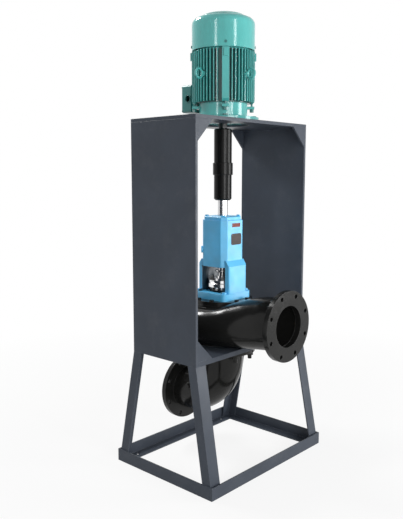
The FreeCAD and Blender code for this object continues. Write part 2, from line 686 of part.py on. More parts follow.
def coupling_ring():
    return turned([(COUPLING_R + 0.05, COUPLING_RING_BOTTOM), (COUPLING_RING_R - 2, COUPLING_RING_BOTTOM),
                   (COUPLING_RING_R, COUPLING_RING_BOTTOM + 2), (COUPLING_RING_R, COUPLING_RING_TOP - 2),
                   (COUPLING_RING_R - 2, COUPLING_RING_TOP), (COUPLING_R + 0.05, COUPLING_RING_TOP)])


def shaft_keys():
    return group([motor_key(), pump_key(), impeller_key()])


# Motor: flange end shield, finned frame, windings, rotor, top shield, fan, cowl and terminal box
MOTOR_LOWER_BEARING = (1734.0, 1759.0)
MOTOR_UPPER_BEARING = (2008.0, 2027.0)
SHIELD_BOLT_R = 141.0
SHIELD_LUG_Z = 1760.0


def motor_flange_shield():
    top = FRAME_TOP + MOTOR_FLANGE_THICK
    inner_r = SHIELD_R - 9
    spigot_r = MOTOR_SPIGOT_R - 0.1
    body = turned([(25, FRAME_TOP - 6), (spigot_r, FRAME_TOP - 6), (spigot_r, FRAME_TOP),
                   (MOTOR_FLANGE_R, FRAME_TOP), (MOTOR_FLANGE_R, top), (SHIELD_R + 6, top),
                   (SHIELD_R, top + 7), (SHIELD_R, STATOR_FRAME_BOTTOM), (inner_r, STATOR_FRAME_BOTTOM),
                   (inner_r, top + 8),
                   (62, top + 4), (62, 1764), (50.02, 1764), (50.02, 1730), (25, 1730)])
    lugs = []
    holes = []
    for a in PAD_ANGLES:
        lug = box(SHIELD_R - 6, -PAD_WIDTH / 2, SHIELD_LUG_Z, FIN_R - 1, PAD_WIDTH / 2, SHIELD_LUG_Z + 13)
        lugs.append(spun(lug, a))
        holes.append(cylinder(5.5, SHIELD_LUG_Z - 1, SHIELD_LUG_Z + 14, *polar(SHIELD_BOLT_R, a)))
        holes.append(cylinder(9.0, FRAME_TOP - 1, top + 1, *polar(MOTOR_BOLT_CIRCLE_R, a)))
    return drilled(fused([body] + lugs), holes)


def fin_angles():
    step = 360.0 / FIN_COUNT
    kept = []
    for i in range(FIN_COUNT):
        angle = step * (i + 0.5)
        near_pad = min(abs((angle - a + 180) % 360 - 180) for a in PAD_ANGLES) < 9.0
        near_box = abs(angle - 90) < 24.0
        if not near_pad and not near_box:
            kept.append(angle)
    return kept


EYE_ANGLES = (180.0, 270.0)
EYE_Z = 1915.0
EYE_BOSS_R = 145.0


def motor_frame():
    low = STATOR_FRAME_BOTTOM
    high = STATOR_FRAME_TOP
    shapes = [cylinder(STATOR_FRAME_R, low, high)]
    fin = box(STATOR_FRAME_R - 3, -FIN_THICK / 2, low + 4, FIN_R, FIN_THICK / 2, high - 2)
    shapes += [spun(fin, angle) for angle in fin_angles()]
    for angle in PAD_ANGLES:
        pad = prism([(100, 0, low), (145, 0, low), (FIN_R, 0, low + 14), (FIN_R, 0, high), (100, 0, high)],
                    V(0, PAD_WIDTH, 0))
        shapes.append(spun(moved(pad, 0, -PAD_WIDTH / 2, 0), angle))
        shapes.append(spun(box(140, -9, high - 40, FIN_R + 7, 9, high - 4), angle))
    for angle in EYE_ANGLES:
        shapes.append(spun(Part.makeCylinder(14, EYE_BOSS_R - 120, V(120, 0, EYE_Z), X_AXIS), angle))
    shapes.append(box(-58, 100, 1775, 58, TERMINAL_BACK, 1885))
    body = fused(shapes)
    cuts = [cylinder(STATOR_R + 0.02, low - 20, high + 1)]
    for angle in PAD_ANGLES:
        x, y = polar(SHIELD_BOLT_R, angle)
        cuts.append(cylinder(5.05, low - 1, low + 26, x, y))
        cuts.append(cylinder(5.05, high - 26, high + 1, x, y))
    for angle in EYE_ANGLES:
        cuts.append(spun(Part.makeCylinder(8.05, 40, V(EYE_BOSS_R - 24, 0, EYE_Z), X_AXIS), angle))
        cuts.append(spun(Part.makeCylinder(20, 20, V(EYE_BOSS_R, 0, EYE_Z), X_AXIS), angle))
    cuts.append(cylinder_y(16, 100, TERMINAL_BACK + 1, 0, TERMINAL_Z))
    cuts.append(box(-60, 100, 1774, 60, SHIELD_R + 1, low))
    return drilled(body, cuts)


def stator_core():
    core = ring(STATOR_R, ROTOR_R + 0.8, 1822, 1992)
    slots = [spun(box(ROTOR_R + 2, -2.6, 1821, 98, 2.6, 1993), 10 * i) for i in range(36)]
    return drilled(core, slots)


def stator_windings():
    wires = [spun(box(ROTOR_R + 4, -2.2, 1808, 97, 2.2, 2004), 10 * i) for i in range(36)]
    ends = [turned([(80, z), (106, z), (112, z + 8), (108, z + 20), (84, z + 20)]) for z in (1795, 1997)]
    return fused(wires + ends)


def rotor_core():
    bore = MOTOR_SHAFT_R + 9.03
    return turned([(bore, 1806), (60, 1806), (ROTOR_R - 3, 1814), (ROTOR_R, 1822), (ROTOR_R, 1992),
                   (ROTOR_R - 3, 2000), (60, 2004), (bore, 2004)])


def motor_shaft():
    shaft = turned([(0, 1590), (MOTOR_SHAFT_R - 2, 1590), (MOTOR_SHAFT_R, 1592), (MOTOR_SHAFT_R, 1722),
                    (22.5, 1726), (22.5, 1760), (30, 1764), (30, 2004), (22.5, 2006), (22.5, 2034),
                    (18, 2036), (18, 2112), (0, 2112)])
    return shaft.cut(motor_key())


def motor_outer_races():
    return group([outer_race(50, 7, *MOTOR_LOWER_BEARING), outer_race(42.5, 5, *MOTOR_UPPER_BEARING)])


def motor_inner_races():
    return group(inner_race(22.5, 7.5, 36.4, 5.9, 1, *MOTOR_LOWER_BEARING)
                 + inner_race(22.5, 5, 32.5, 4.4, 1, *MOTOR_UPPER_BEARING))


def motor_top_shield():
    body = turned([(24, 2032), (24, 2042), (STATOR_FRAME_R, 2042), (STATOR_FRAME_R, STATOR_FRAME_TOP),
                   (56, STATOR_FRAME_TOP), (56, 2006), (42.52, 2006), (42.52, 2032)])
    lugs = [spun(box(110, -PAD_WIDTH / 2, STATOR_FRAME_TOP, 149, PAD_WIDTH / 2, 2042), a) for a in PAD_ANGLES]
    ears = [spun(box(124, -11, 2040, 150.5, 11, 2066), a) for a in PAD_ANGLES]
    body = fused([body] + lugs + ears)
    holes = []
    for a in PAD_ANGLES:
        holes.append(spun(Part.makeCylinder(3.05, 20, V(134, 0, COWL_SCREW_Z), X_AXIS), a))
    for a in TOP_BOLT_ANGLES:
        holes.append(cylinder(5.5, 2029, 2045, *polar(TOP_BOLT_R, a)))
    return drilled(body, holes)


COWL_SCREW_Z = 2055.0
TOP_BOLT_ANGLES = (0, 90, 180, 270)
TOP_BOLT_R = 124.0


def shield_bolts():
    return group([bolt_down(5.0, 17, 14, SHIELD_LUG_Z, 48, *polar(SHIELD_BOLT_R, a)) for a in PAD_ANGLES])


def cooling_fan():
    hub = turned([(18.03, 2056), (30, 2056), (34, 2066), (136, 2068), (136, 2072), (34, 2076), (30, 2104),
                  (18.03, 2104)])
    blades = [spun(box(26, -2, 2069, 136, 2, 2150), 36 * i) for i in range(10)]
    return fused([hub] + blades).cut(cylinder(18.03, 2050, 2160))


COWL_PROFILE = [(COWL_R, COWL_BOTTOM), (COWL_R, 2156), (151.4, 2166), (146.5, 2175), (139, 2182),
                (129, 2186.5), (112, 2190)]
COWL_SHEET = 2.0


def fan_cowl():
    inner = [(r - COWL_SHEET, z - (0 if i == 0 else COWL_SHEET)) for i, (r, z) in enumerate(COWL_PROFILE)]
    rim = [(68, 2191), (68, 2191 - COWL_SHEET)]
    shell = turned(COWL_PROFILE + rim + inner[::-1])
    holes = [spun(Part.makeCylinder(3.4, 20, V(140, 0, COWL_SCREW_Z), X_AXIS), a) for a in PAD_ANGLES]
    return drilled(shell, holes)


def rain_canopy():
    cap = turned([(0, MOTOR_TOP - 4), (76, MOTOR_TOP - 4), (91, 2198), (97, 2193), (CAP_R, 2193),
                  (CAP_R, 2196), (101, 2200), (93, 2203), (80, MOTOR_TOP - 1), (60, MOTOR_TOP),
                  (0, MOTOR_TOP)])
    posts = [cylinder(6, 2191, MOTOR_TOP - 3, *polar(73, a)) for a in PAD_ANGLES]
    return fused([cap] + posts)


def cover_screws():
    cowl_screw = fused([cylinder(6.5, 0, 4), cylinder(3.0, -14, 1)])
    screws = []
    for a in PAD_ANGLES:
        x, y = polar(COWL_R, a)
        screws.append(aimed(cowl_screw, (x, y, 0), x, y, COWL_SCREW_Z))
    screws += [aimed(cowl_screw, (0, 1, 0), x, LID_FRONT, z) for x, z in lid_screw_places()]
    return group(screws)


def lid_screw_places():
    return [(sx * LID_SCREW_X, TERMINAL_Z + sz * LID_SCREW_Z) for sx in (-1, 1) for sz in (-1, 1)]


TERMINAL_BACK = 152.0
TERMINAL_FRONT = 207.5
LID_FRONT = 213.0
TERMINAL_HALF_X = 71.0
TERMINAL_Z = 1819.0
TERMINAL_HALF_Z = 68.0
TERMINAL_WALL = 7.0
TERMINAL_POST = 18.0
LID_SCREW_X = 61.0
LID_SCREW_Z = 58.0
CABLE_ENTRY_R = 16.0
CABLE_BUSH_R = 18.0
CABLE_ENTRY_Y = 171.0


def rounded_block(half_x, y0, y1, half_z, radius):
    block = box(-half_x, y0, TERMINAL_Z - half_z, half_x, y1, TERMINAL_Z + half_z)
    return block.makeFillet(radius, [e for e in block.Edges if abs(e.tangentAt(e.FirstParameter).y) > 0.9])


def terminal_box():
    """A box welded from plates: a back, four walls and a threaded post in each corner."""
    inner_x = TERMINAL_HALF_X - TERMINAL_WALL
    inner_z = TERMINAL_HALF_Z - TERMINAL_WALL
    post_x = TERMINAL_HALF_X - TERMINAL_POST
    post_z = TERMINAL_HALF_Z - TERMINAL_POST
    outside = rounded_block(TERMINAL_HALF_X, TERMINAL_BACK, TERMINAL_FRONT, TERMINAL_HALF_Z, 12)
    z = TERMINAL_Z
    posts = [box(x, TERMINAL_BACK, z + up, x + TERMINAL_POST, TERMINAL_FRONT, z + up + TERMINAL_POST)
             for x in (-TERMINAL_HALF_X, post_x) for up in (-TERMINAL_HALF_Z, post_z)]
    back = box(-inner_x, TERMINAL_BACK, z - inner_z, inner_x, TERMINAL_BACK + TERMINAL_WALL, z + inner_z)
    floor = box(-post_x, TERMINAL_BACK, z - TERMINAL_HALF_Z, post_x, TERMINAL_FRONT, z - inner_z)
    roof = box(-post_x, TERMINAL_BACK, z + inner_z, post_x, TERMINAL_FRONT, z + TERMINAL_HALF_Z)
    cable_wall = box(-TERMINAL_HALF_X, TERMINAL_BACK, z - post_z, -inner_x, TERMINAL_FRONT, z + post_z)
    far_wall = box(inner_x, TERMINAL_BACK, z - post_z, TERMINAL_HALF_X, TERMINAL_FRONT, z + post_z)
    lead_hole = cylinder_y(16, TERMINAL_BACK - 1, TERMINAL_BACK + 9, 0, TERMINAL_Z)
    bush_hole = cylinder_x(CABLE_BUSH_R + 0.05, -TERMINAL_HALF_X - 4, -TERMINAL_HALF_X + 12)
    taps = [cylinder_y(3.05, TERMINAL_FRONT - 20, TERMINAL_FRONT + 1, x, z) for x, z in lid_screw_places()]
    plates = [drilled(back, posts + [lead_hole]), floor, roof, cable_wall.cut(bush_hole), far_wall]
    return group(plates + [drilled(post.common(outside), taps) for post in posts])


def terminal_lid():
    lid = rounded_block(TERMINAL_HALF_X, TERMINAL_FRONT, LID_FRONT, TERMINAL_HALF_Z, 12)
    holes = [cylinder_y(3.4, TERMINAL_FRONT - 1, LID_FRONT + 1, x, z) for x, z in lid_screw_places()]
    edges = [e for e in lid.Edges if e.CenterOfMass.y > LID_FRONT - 0.5]
    return drilled(lid.makeFillet(2.5, edges), holes)


def cylinder_x(radius, x0, x1):
    return Part.makeCylinder(radius, x1 - x0, V(x0, CABLE_ENTRY_Y, TERMINAL_Z), X_AXIS)


def cable_bush():
    outer_end = -TERMINAL_HALF_X - 3
    collar = cylinder_x(CABLE_BUSH_R + 1, outer_end, -TERMINAL_HALF_X)
    inner_end = -TERMINAL_HALF_X + TERMINAL_WALL
    barrel = cylinder_x(CABLE_BUSH_R, outer_end, inner_end)
    return collar.fuse(barrel).cut(cylinder_x(CABLE_ENTRY_R, outer_end - 1, inner_end + 1))


def lifting_eyes():
    eyes = []
    for angle in EYE_ANGLES:
        eye_ring = Part.makeTorus(21.5, 5.5, V(EYE_BOSS_R + 28.5, 0, EYE_Z), Y_AXIS)
        collar = Part.makeCylinder(13, 5, V(EYE_BOSS_R, 0, EYE_Z), X_AXIS)
        shank = Part.makeCylinder(8, 34, V(EYE_BOSS_R - 22, 0, EYE_Z), X_AXIS)
        eyes.append(spun(fused([eye_ring, collar, shank]), angle))
    return group(eyes)


def motor_flange_bolts():
    return group([bolt_up(8.0, 24, 10, FRAME_TOP + MOTOR_FLANGE_THICK, 31, *polar(MOTOR_BOLT_CIRCLE_R, a))
                  for a in PAD_ANGLES])


NODES = {
    "base_rail_front": front_rail(),
    "base_rail_rear": spun(front_rail(), 180),
    "base_rail_left": spun(side_rail(), 180),
    "base_rail_right": side_rail(),
    "leg_front_left": leg(-1, -1),
    "leg_front_right": leg(1, -1),
    "leg_rear_left": leg(-1, 1),
    "leg_rear_right": leg(1, 1),
    "side_panel_left": spun(side_panel(), 180),
    "side_panel_right": side_panel(),
    "motor_plate": motor_plate(),
    "pump_plate": pump_plate(),
    "corner_gussets": corner_gussets(),
    "volute_casing": volute_casing(),
    "casing_cover": casing_cover(),
    "wear_ring": wear_ring(),
    "impeller": impeller(),
    "impeller_nut": impeller_nut(),
    "pump_shaft": pump_shaft(),
    "shaft_sleeve": shaft_sleeve(),
    "gland_packing": gland_packing(),
    "gland_follower": gland_follower(),
    "gland_studs": gland_studs(),
    "bearing_housing": bearing_housing(),
    "bearing_top_cover": bearing_top_cover(),
    "bearing_cover_bolts": bearing_cover_bolts(),
    "pump_outer_races": pump_outer_races(),
    "pump_inner_races": pump_inner_races(),
    "shaft_slinger": shaft_slinger(),
    "grease_nipples": grease_nipples(),
    "housing_foot_bolts": housing_foot_bolts(),
    "casing_cover_bolts": casing_cover_bolts(),
    "suction_elbow": suction_elbow(),
    "suction_studs": suction_studs(),
    "flange_gaskets": flange_gaskets(),
    "drain_plug": drain_plug(),
    "coupling_motor_hub": coupling_motor_hub(),
    "coupling_pump_hub": coupling_pump_hub(),
    "coupling_spider": coupling_spider(),
    "coupling_ring": coupling_ring(),
    "shaft_keys": shaft_keys(),
    "motor_flange_shield": motor_flange_shield(),
    "motor_frame": motor_frame(),
    "stator_core": stator_core(),
    "stator_windings": stator_windings(),
    "rotor_core": rotor_core(),
    "motor_shaft": motor_shaft(),
    "motor_outer_races": motor_outer_races(),
    "motor_inner_races": motor_inner_races(),
    "motor_top_shield": motor_top_shield(),
    "shield_bolts": shield_bolts(),
    "motor_flange_bolts": motor_flange_bolts(),
    "cooling_fan": cooling_fan(),
    "fan_cowl": fan_cowl(),
    "rain_canopy": rain_canopy(),
    "cover_screws": cover_screws(),
    "terminal_box": terminal_box(),
    "terminal_lid": terminal_lid(),
    "cable_bush": cable_bush(),
    "lifting_eyes": lifting_eyes(),
}

for node_name, node_shape in NODES.items():
    export(node_name, node_shape)
print("nodes", len(NODES))
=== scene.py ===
import math

import bmesh
import bpy
from bpy.props import FloatProperty, FloatVectorProperty, PointerProperty
from bpy.types import Operator, Panel, PropertyGroup
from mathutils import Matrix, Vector


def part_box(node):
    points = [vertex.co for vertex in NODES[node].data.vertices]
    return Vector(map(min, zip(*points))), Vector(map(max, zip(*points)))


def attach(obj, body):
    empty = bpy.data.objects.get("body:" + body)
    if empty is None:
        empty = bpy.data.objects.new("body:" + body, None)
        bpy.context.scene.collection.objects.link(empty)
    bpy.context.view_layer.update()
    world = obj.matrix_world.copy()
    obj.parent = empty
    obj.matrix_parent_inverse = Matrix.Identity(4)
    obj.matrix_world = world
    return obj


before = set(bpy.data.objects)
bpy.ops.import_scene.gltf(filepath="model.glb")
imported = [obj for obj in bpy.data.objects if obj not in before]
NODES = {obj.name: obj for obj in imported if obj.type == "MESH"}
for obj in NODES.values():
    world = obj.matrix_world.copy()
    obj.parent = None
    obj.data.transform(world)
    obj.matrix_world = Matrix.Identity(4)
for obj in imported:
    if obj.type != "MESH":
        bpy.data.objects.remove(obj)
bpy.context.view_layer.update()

bl_info = {
    "name": "Vertical dry pit pump",
    "version": (1, 0, 0),
    "blender": (4, 5, 0),
    "location": "View3D > Sidebar > Pump",
    "description": "Finishes, small parts, lights and camera for a vertical dry pit pump",
    "category": "Object",
}

# The body that every small piece rides on
STILL = "frame_and_casings"

# Which CAD nodes take which finish
FRAME_NODES = ["base_rail_front", "base_rail_rear", "base_rail_left", "base_rail_right",
               "leg_front_left", "leg_front_right", "leg_rear_left", "leg_rear_right",
               "side_panel_left", "side_panel_right", "motor_plate", "pump_plate", "corner_gussets"]
CASTING_NODES = ["volute_casing", "casing_cover", "suction_elbow", "casing_cover_bolts",
                 "suction_studs", "drain_plug"]
HOUSING_NODES = ["bearing_housing", "bearing_top_cover", "housing_foot_bolts",
                 "bearing_cover_bolts"]
MOTOR_NODES = ["motor_flange_shield", "motor_top_shield", "fan_cowl", "lifting_eyes"]
FINNED_NODES = ["motor_frame"]
BOX_NODES = ["terminal_box", "terminal_lid", "cable_bush"]
CAP_NODES = ["rain_canopy"]
MOTOR_BOLT_NODES = ["motor_flange_bolts", "shield_bolts", "cover_screws"]
COUPLING_NODES = ["coupling_motor_hub", "coupling_pump_hub", "coupling_ring"]
PLATED_NODES = ["grease_nipples"]
STUD_NODES = ["gland_studs"]
TURNED_NODES = ["pump_shaft", "impeller_nut", "pump_outer_races", "pump_inner_races",
                "motor_outer_races", "motor_inner_races", "shaft_keys"]
OILED_NODES = ["motor_shaft"]
POLISHED_NODES = ["shaft_sleeve", "gland_follower", "shaft_slinger"]
BRONZE_NODES = ["impeller", "wear_ring"]
RUBBER_NODES = ["coupling_spider", "flange_gaskets"]
FAN_NODES = ["cooling_fan"]
PACKING_NODES = ["gland_packing"]
WINDING_NODES = ["stator_windings"]
SHEET_STEEL_NODES = ["stator_core", "rotor_core"]

# Where a finish changes within a node, in metres: the distances from the shaft line between which
# the painted shade in the gaps between the fins fades out, and the half width, floor and roof of
# the housing's window, whose inner faces get painted shade, with the blur at its edges
FIN_GAP_SHADE = (0.1290, 0.1525)
WINDOW_SHADE = (0.0766, 0.8596, 0.9880)
WINDOW_BLUR = 0.0004

# Ranges of a noise's value that make soft clouds and broad changes, and the cosines between
# the true and the rounded normal where an edge begins to show and where it shows in full
CLOUDS = (0.35, 0.65)
BROAD = (0.3, 0.7)
EDGE_TURN = (0.995, 0.86)

# Colours that belong to a look and not to the pump's own choice of colours
DUST = (0.45, 0.42, 0.38)
DARK_DUST = (0.16, 0.15, 0.14)
RUBBED = (0.55, 0.55, 0.55)
RUBBED_CASTING = (0.5, 0.5, 0.5)
STAIN = (0.22, 0.19, 0.15)
BLOOM = (0.25, 0.25, 0.25)
# A pale tint for painted light on the motor's cap
CAP_LIGHT_TINT = (0.75, 0.85, 0.80)
BRONZE = (0.42, 0.25, 0.09)
RUBBER = (0.018, 0.018, 0.019)
FAN_PLASTIC = (0.02, 0.02, 0.02)
FIBRE = (0.45, 0.40, 0.30)
COPPER = (0.55, 0.20, 0.08)
SHEET_STEEL = (0.22, 0.22, 0.23)
PLATE_RED = (0.20, 0.045, 0.035)
PLATE_DARK = (0.060, 0.050, 0.048)

# Edge radii and bump depths of small parts and the pitch of the threads, in metres.
# WAVE_PER_PITCH divided by the pitch is the scale at which bands come one to a thread
SMALL_EDGE = 0.0008
RING_DEPTH = 0.00006
PLATING_DEPTH = 0.00008
BRONZE_DEPTH = 0.0003
RUBBER_DEPTH = 0.0002
WEAVE_DEPTH = 0.0006
WIRE_DEPTH = 0.0004
THREAD_DEPTH = 0.0006
THREAD_PITCH = 0.0025
WAVE_PER_PITCH = 0.314
PLATE_PEEL = 0.00004

# Weld beads, in metres: how they lie against the panels, the legs and the base angle, with
# BEAD_SUNK, BEAD_PROUD, THIN_BEAD, BEAD_END and BEAD_DIP as shares of a bead's radius, and
# BEAD_SWELL as how fast a bead gets full from its ends
BEAD_RIPPLE = 0.004
BEAD_SIDES = 8
BEAD_SUNK = 0.3
BEAD_PROUD = 0.2
THIN_BEAD = 0.7
BEAD_END = 0.35
BEAD_SWELL = 8.0
BEAD_DIP = 0.82
PANEL_BEAD_IN = 0.115
PANEL_BEAD_HALF = 0.085
ANGLE_THICK = 0.006
FOOT_BEAD_X = 0.060
FOOT_BEAD_Y = 0.046
FOOT_BEAD_GAP = 0.003

# Washers, in metres: hole and outer radius, and where the heads and nuts over them are, with
# WASHER_BEVEL as a share of the thickness
WASHER_SIDES = 28
WASHER_BEVEL = 0.4
FLANGE_WASHER = (0.0082, 0.0152)
FLANGE_BOLT_CIRCLE = 0.150
FLANGE_BOLT_ANGLES = (45, 135, 225, 315)
FLANGE_HEAD = 0.010
FOOT_WASHER = (0.0082, 0.0150)
FOOT_HEAD = 0.010
FOOT_HEAD_X = 0.0139
FOOT_HEAD_Y = 0.0120
STUD_WASHER = (0.0102, 0.0185)
STUD_CIRCLE = 0.1475
STUD_ANGLES = [22.5 + 45 * i for i in range(8)]
ELBOW_FLANGE = 0.030
COVER_WASHER = (0.0062, 0.0118)
COVER_BOLT_CIRCLE = 0.136
COVER_BOLT_ANGLES = [side + turn for side in (0, 90, 180, 270) for turn in (-18, 18)]
COVER_HEAD = 0.008

# Blank plates on the housing's front, in metres: lower and upper corner in X and Z, with
# PLATE_BEVEL as a share of the thickness. A rivet's dome is given as height and width, both
# as shares of its radius
PLATE_FACE_Y = -0.0820
PLATE_BEVEL = 0.4
UPPER_PLATE = ((-0.023, 1.186), (0.039, 1.205))
UPPER_CORNER = 0.002
UPPER_RIVETS = [(-0.0205, 1.1955), (0.0365, 1.1955)]
UPPER_RIVET = 0.0018
LOWER_PLATE = ((-0.030, 1.098), (0.048, 1.154))
LOWER_CORNER = 0.009
LOWER_RIVETS = [(-0.025, 1.103), (-0.025, 1.149), (0.043, 1.103), (0.043, 1.149)]
LOWER_RIVET = 0.0020
RIVET_SIDES = 12
RIVET_DOME = ((0.0, 1.0), (0.45, 0.85), (0.75, 0.5))
CORNER_STEPS = 7
RED_PLATE_EDGE = 0.0006
DARK_PLATE_EDGE = 0.0010

# The stage, in metres: each lamp's name, place, width and height, and the setting that holds
# its power. FLOOR_GLOW is two distances from the middle of the floor and the share of white
# at each. The sensor is in millimetres
AIM = (0.0, 0.0, 1.1)
LAMPS = (("main_lamp", (2.53, -3.36, 1.3), (1.4, 2.4), "main_power"),
         ("fill_lamp", (-1.7, -3.85, 1.5), (1.4, 1.4), "fill_power"),
         ("side_lamp", (-4.4, -1.1, 2.6), (0.25, 2.0), "side_power"),
         ("front_lamp", (-0.54, -4.4, 2.6), (0.25, 2.0), "front_power"),
         ("top_lamp", (-0.4, 2.3, 3.75), (1.3, 0.6), "top_power"))
FLOOR_HALF = 30
FLOOR_GLOW = (0.9, 3.0, 0.86, 1.0)
SENSOR = 36.0


# Small helpers for building a finish out of shader nodes
class Finish:
    """A material whose nodes are added one call at a time."""

    def __init__(self, name):
        self.material = bpy.data.materials.new(name)
        self.material.use_nodes = True
        self.tree = self.material.node_tree
        self.tree.nodes.clear()
        self.out = self.add("ShaderNodeOutputMaterial")
        self.shader = self.add("ShaderNodeBsdfPrincipled")
        self.link(self.shader.outputs[0], self.out.inputs[0])
        self.place = self.add("ShaderNodeTexCoord").outputs["Object"]

    def add(self, kind, **settings):
        node = self.tree.nodes.new(kind)
        for key, value in settings.items():
            setattr(node, key, value)
        return node

    def link(self, source, target):
        self.tree.links.new(source, target)

    def fixed(self, **values):
        """Set numbers on the shader's own sockets; an underscore stands for a space."""
        for key, value in values.items():
            self.shader.inputs[key.replace("_", " ")].default_value = value

    def stretched(self, x, y, z):
        mapping = self.add("ShaderNodeMapping")
        mapping.inputs["Scale"].default_value = (x, y, z)
        self.link(self.place, mapping.inputs["Vector"])
        return mapping.outputs[0]

    def noise(self, scale, detail=3.0, rough=0.55, where=None):
        node = self.add("ShaderNodeTexNoise")
        node.inputs["Scale"].default_value = scale
        node.inputs["Detail"].default_value = detail
        node.inputs["Roughness"].default_value = rough
        self.link(where or self.place, node.inputs["Vector"])
        return node.outputs["Fac"]

    def bands(self, scale, distortion=0.0):
        """Parallel lines one above the other."""
        wave = self.add("ShaderNodeTexWave", wave_type="BANDS", bands_direction="Z")
        wave.inputs["Scale"].default_value = scale
        wave.inputs["Distortion"].default_value = distortion
        self.link(self.place, wave.inputs["Vector"])
        return wave.outputs["Fac"]

    def spread(self, value, low, high, to_low=0.0, to_high=1.0):
        """Stretch the range from low to high over the range from to_low to to_high."""
        node = self.add("ShaderNodeMapRange")
        node.inputs["From Min"].default_value = low
        node.inputs["From Max"].default_value = high
        node.inputs["To Min"].default_value = to_low
        node.inputs["To Max"].default_value = to_high
        self.link(value, node.inputs["Value"])
        return node.outputs["Result"]

    def maths(self, how, first, second=0.0):
        node = self.add("ShaderNodeMath", operation=how)
        node.use_clamp = True
        self.link(first, node.inputs[0])
        if isinstance(second, float):
            node.inputs[1].default_value = second
        else:
            self.link(second, node.inputs[1])
        return node.outputs[0]

    def times(self, first, second):
        return self.maths("MULTIPLY", first, second)

    def distance(self, where):
        """How far a place is from the object's origin."""
        reach = self.add("ShaderNodeVectorMath", operation="LENGTH")
        self.link(where, reach.inputs[0])
        return reach.outputs["Value"]

    def colour_between(self, factor, first, second):
        node = self.add("ShaderNodeMix", data_type="RGBA")
        self.link(factor, node.inputs["Factor"])
        for value, socket in ((first, node.inputs[6]), (second, node.inputs[7])):
            if isinstance(value, (tuple, list)):
                socket.default_value = (*value[:3], 1.0)
            else:
                self.link(value, socket)
        return node.outputs[2]

    def edge(self, radius):
        """1 along sharp edges, 0 on flat and gently curved faces, and the rounded normal."""
        rounding = self.add("ShaderNodeBevel", samples=4)
        rounding.inputs["Radius"].default_value = radius
        geometry = self.add("ShaderNodeNewGeometry")
        dot = self.add("ShaderNodeVectorMath", operation="DOT_PRODUCT")
        self.link(rounding.outputs[0], dot.inputs[0])
        self.link(geometry.outputs["Normal"], dot.inputs[1])
        return self.spread(dot.outputs["Value"], *EDGE_TURN), rounding.outputs[0]

    def bump(self, height, distance, strength=1.0, onto=None):
        node = self.add("ShaderNodeBump")
        node.inputs["Strength"].default_value = strength
        node.inputs["Distance"].default_value = distance
        self.link(height, node.inputs["Height"])
        if onto is not None:
            self.link(onto, node.inputs["Normal"])
        return node.outputs[0]

    def finish(self, colour, roughness=None, normal=None):
        self.link(colour, self.shader.inputs["Base Color"])
        if roughness is not None:
            self.link(roughness, self.shader.inputs["Roughness"])
        if normal is not None:
            self.link(normal, self.shader.inputs["Normal"])
        return self.material


def shade(colour, factor):
    return tuple(min(1.0, c * factor) for c in colour[:3])


def blended(colour, other, share):
    return tuple(a * (1 - share) + b * share for a, b in zip(colour[:3], other[:3]))


def sprayed_paint(name, colour, roughness, peel, edge_radius, dust, shine=0.5, gap_shade=None):
    """Sprayed paint: slight cloudiness, orange peel, lighter rubbed edges and dust in patches.

    The last argument gives two distances from the shaft line: nearer than the first the colour is
    darkened to a fifth, as painted shade deep in the gaps between the fins, and beyond the second
    it is left as it is."""
    f = Finish(name)
    f.fixed(Specular_IOR_Level=shine)
    cloud = f.spread(f.noise(scale=5.0, detail=4.0), *CLOUDS)
    base = f.colour_between(cloud, shade(colour, 0.93), shade(colour, 1.07))
    dusty = f.spread(f.noise(scale=9.0, detail=6.0, rough=0.7), 0.52, 0.78, 0.0, dust)
    base = f.colour_between(dusty, base, blended(colour, DUST, 0.5))
    # Painted shade: darker nearer the shaft line, deep in the gaps between the fins
    if gap_shade:
        full = f.spread(f.distance(f.stretched(1.0, 1.0, 0.0)), *gap_shade)
        base = f.colour_between(full, shade(colour, 0.2), base)
    edge, rounded = f.edge(edge_radius)
    chips = f.spread(f.noise(scale=160.0, detail=3.0), 0.50, 0.62)
    worn = f.times(f.times(edge, chips), 0.55)
    base = f.colour_between(worn, base, blended(colour, RUBBED, 0.35))
    rough = f.spread(f.noise(scale=14.0, detail=4.0), *BROAD, roughness * 0.85, roughness * 1.2)
    peel_height = f.noise(scale=420.0, detail=2.0)
    return f.finish(base, rough, f.bump(peel_height, peel, 1.0, rounded))


def cast_paint(name, colour, roughness, grain, edge_radius, dust, shine, bare=None):
    """Thick gloss paint over sand-cast iron: shallow dimples under a smooth coat.

    bare gives the half width in Y, the floor and the roof of a window whose inner faces get painted
    shade, a nearly black copy of the colour."""
    f = Finish(name)
    f.fixed(Specular_IOR_Level=shine)
    cloud = f.spread(f.noise(scale=7.0, detail=5.0), *CLOUDS)
    base = f.colour_between(cloud, shade(colour, 0.88), shade(colour, 1.1))
    dusty = f.spread(f.noise(scale=12.0, detail=6.0, rough=0.7), 0.55, 0.8, 0.0, dust)
    base = f.colour_between(dusty, base, DARK_DUST)
    # Painted shade on the inner faces of the housing's window: the colour drops to six hundredths
    # there
    if bare:
        half, floor, roof = bare
        where = f.add("ShaderNodeSeparateXYZ")
        f.link(f.place, where.inputs[0])
        height = where.outputs["Z"]
        width = f.maths("ABSOLUTE", where.outputs["Y"])
        iron = f.times(f.spread(width, half, half + WINDOW_BLUR, 1.0, 0.0),
                       f.spread(height, floor, floor + WINDOW_BLUR))
        iron = f.times(iron, f.spread(height, roof, roof + WINDOW_BLUR, 1.0, 0.0))
        base = f.colour_between(iron, base, shade(colour, 0.06))
    edge, rounded = f.edge(edge_radius)
    base = f.colour_between(f.times(edge, 0.25), base, blended(colour, RUBBED_CASTING, 0.3))
    rough = f.spread(f.noise(scale=22.0, detail=4.0), *BROAD, roughness * 0.8, roughness * 1.35)
    coarse = f.spread(f.noise(scale=30.0, detail=2.0), 0.0, 1.0, 0.0, 0.8)
    sand = f.maths("ADD", f.noise(scale=110.0, detail=4.0, rough=0.6), coarse)
    return f.finish(base, rough, f.bump(sand, grain, 0.6, rounded))


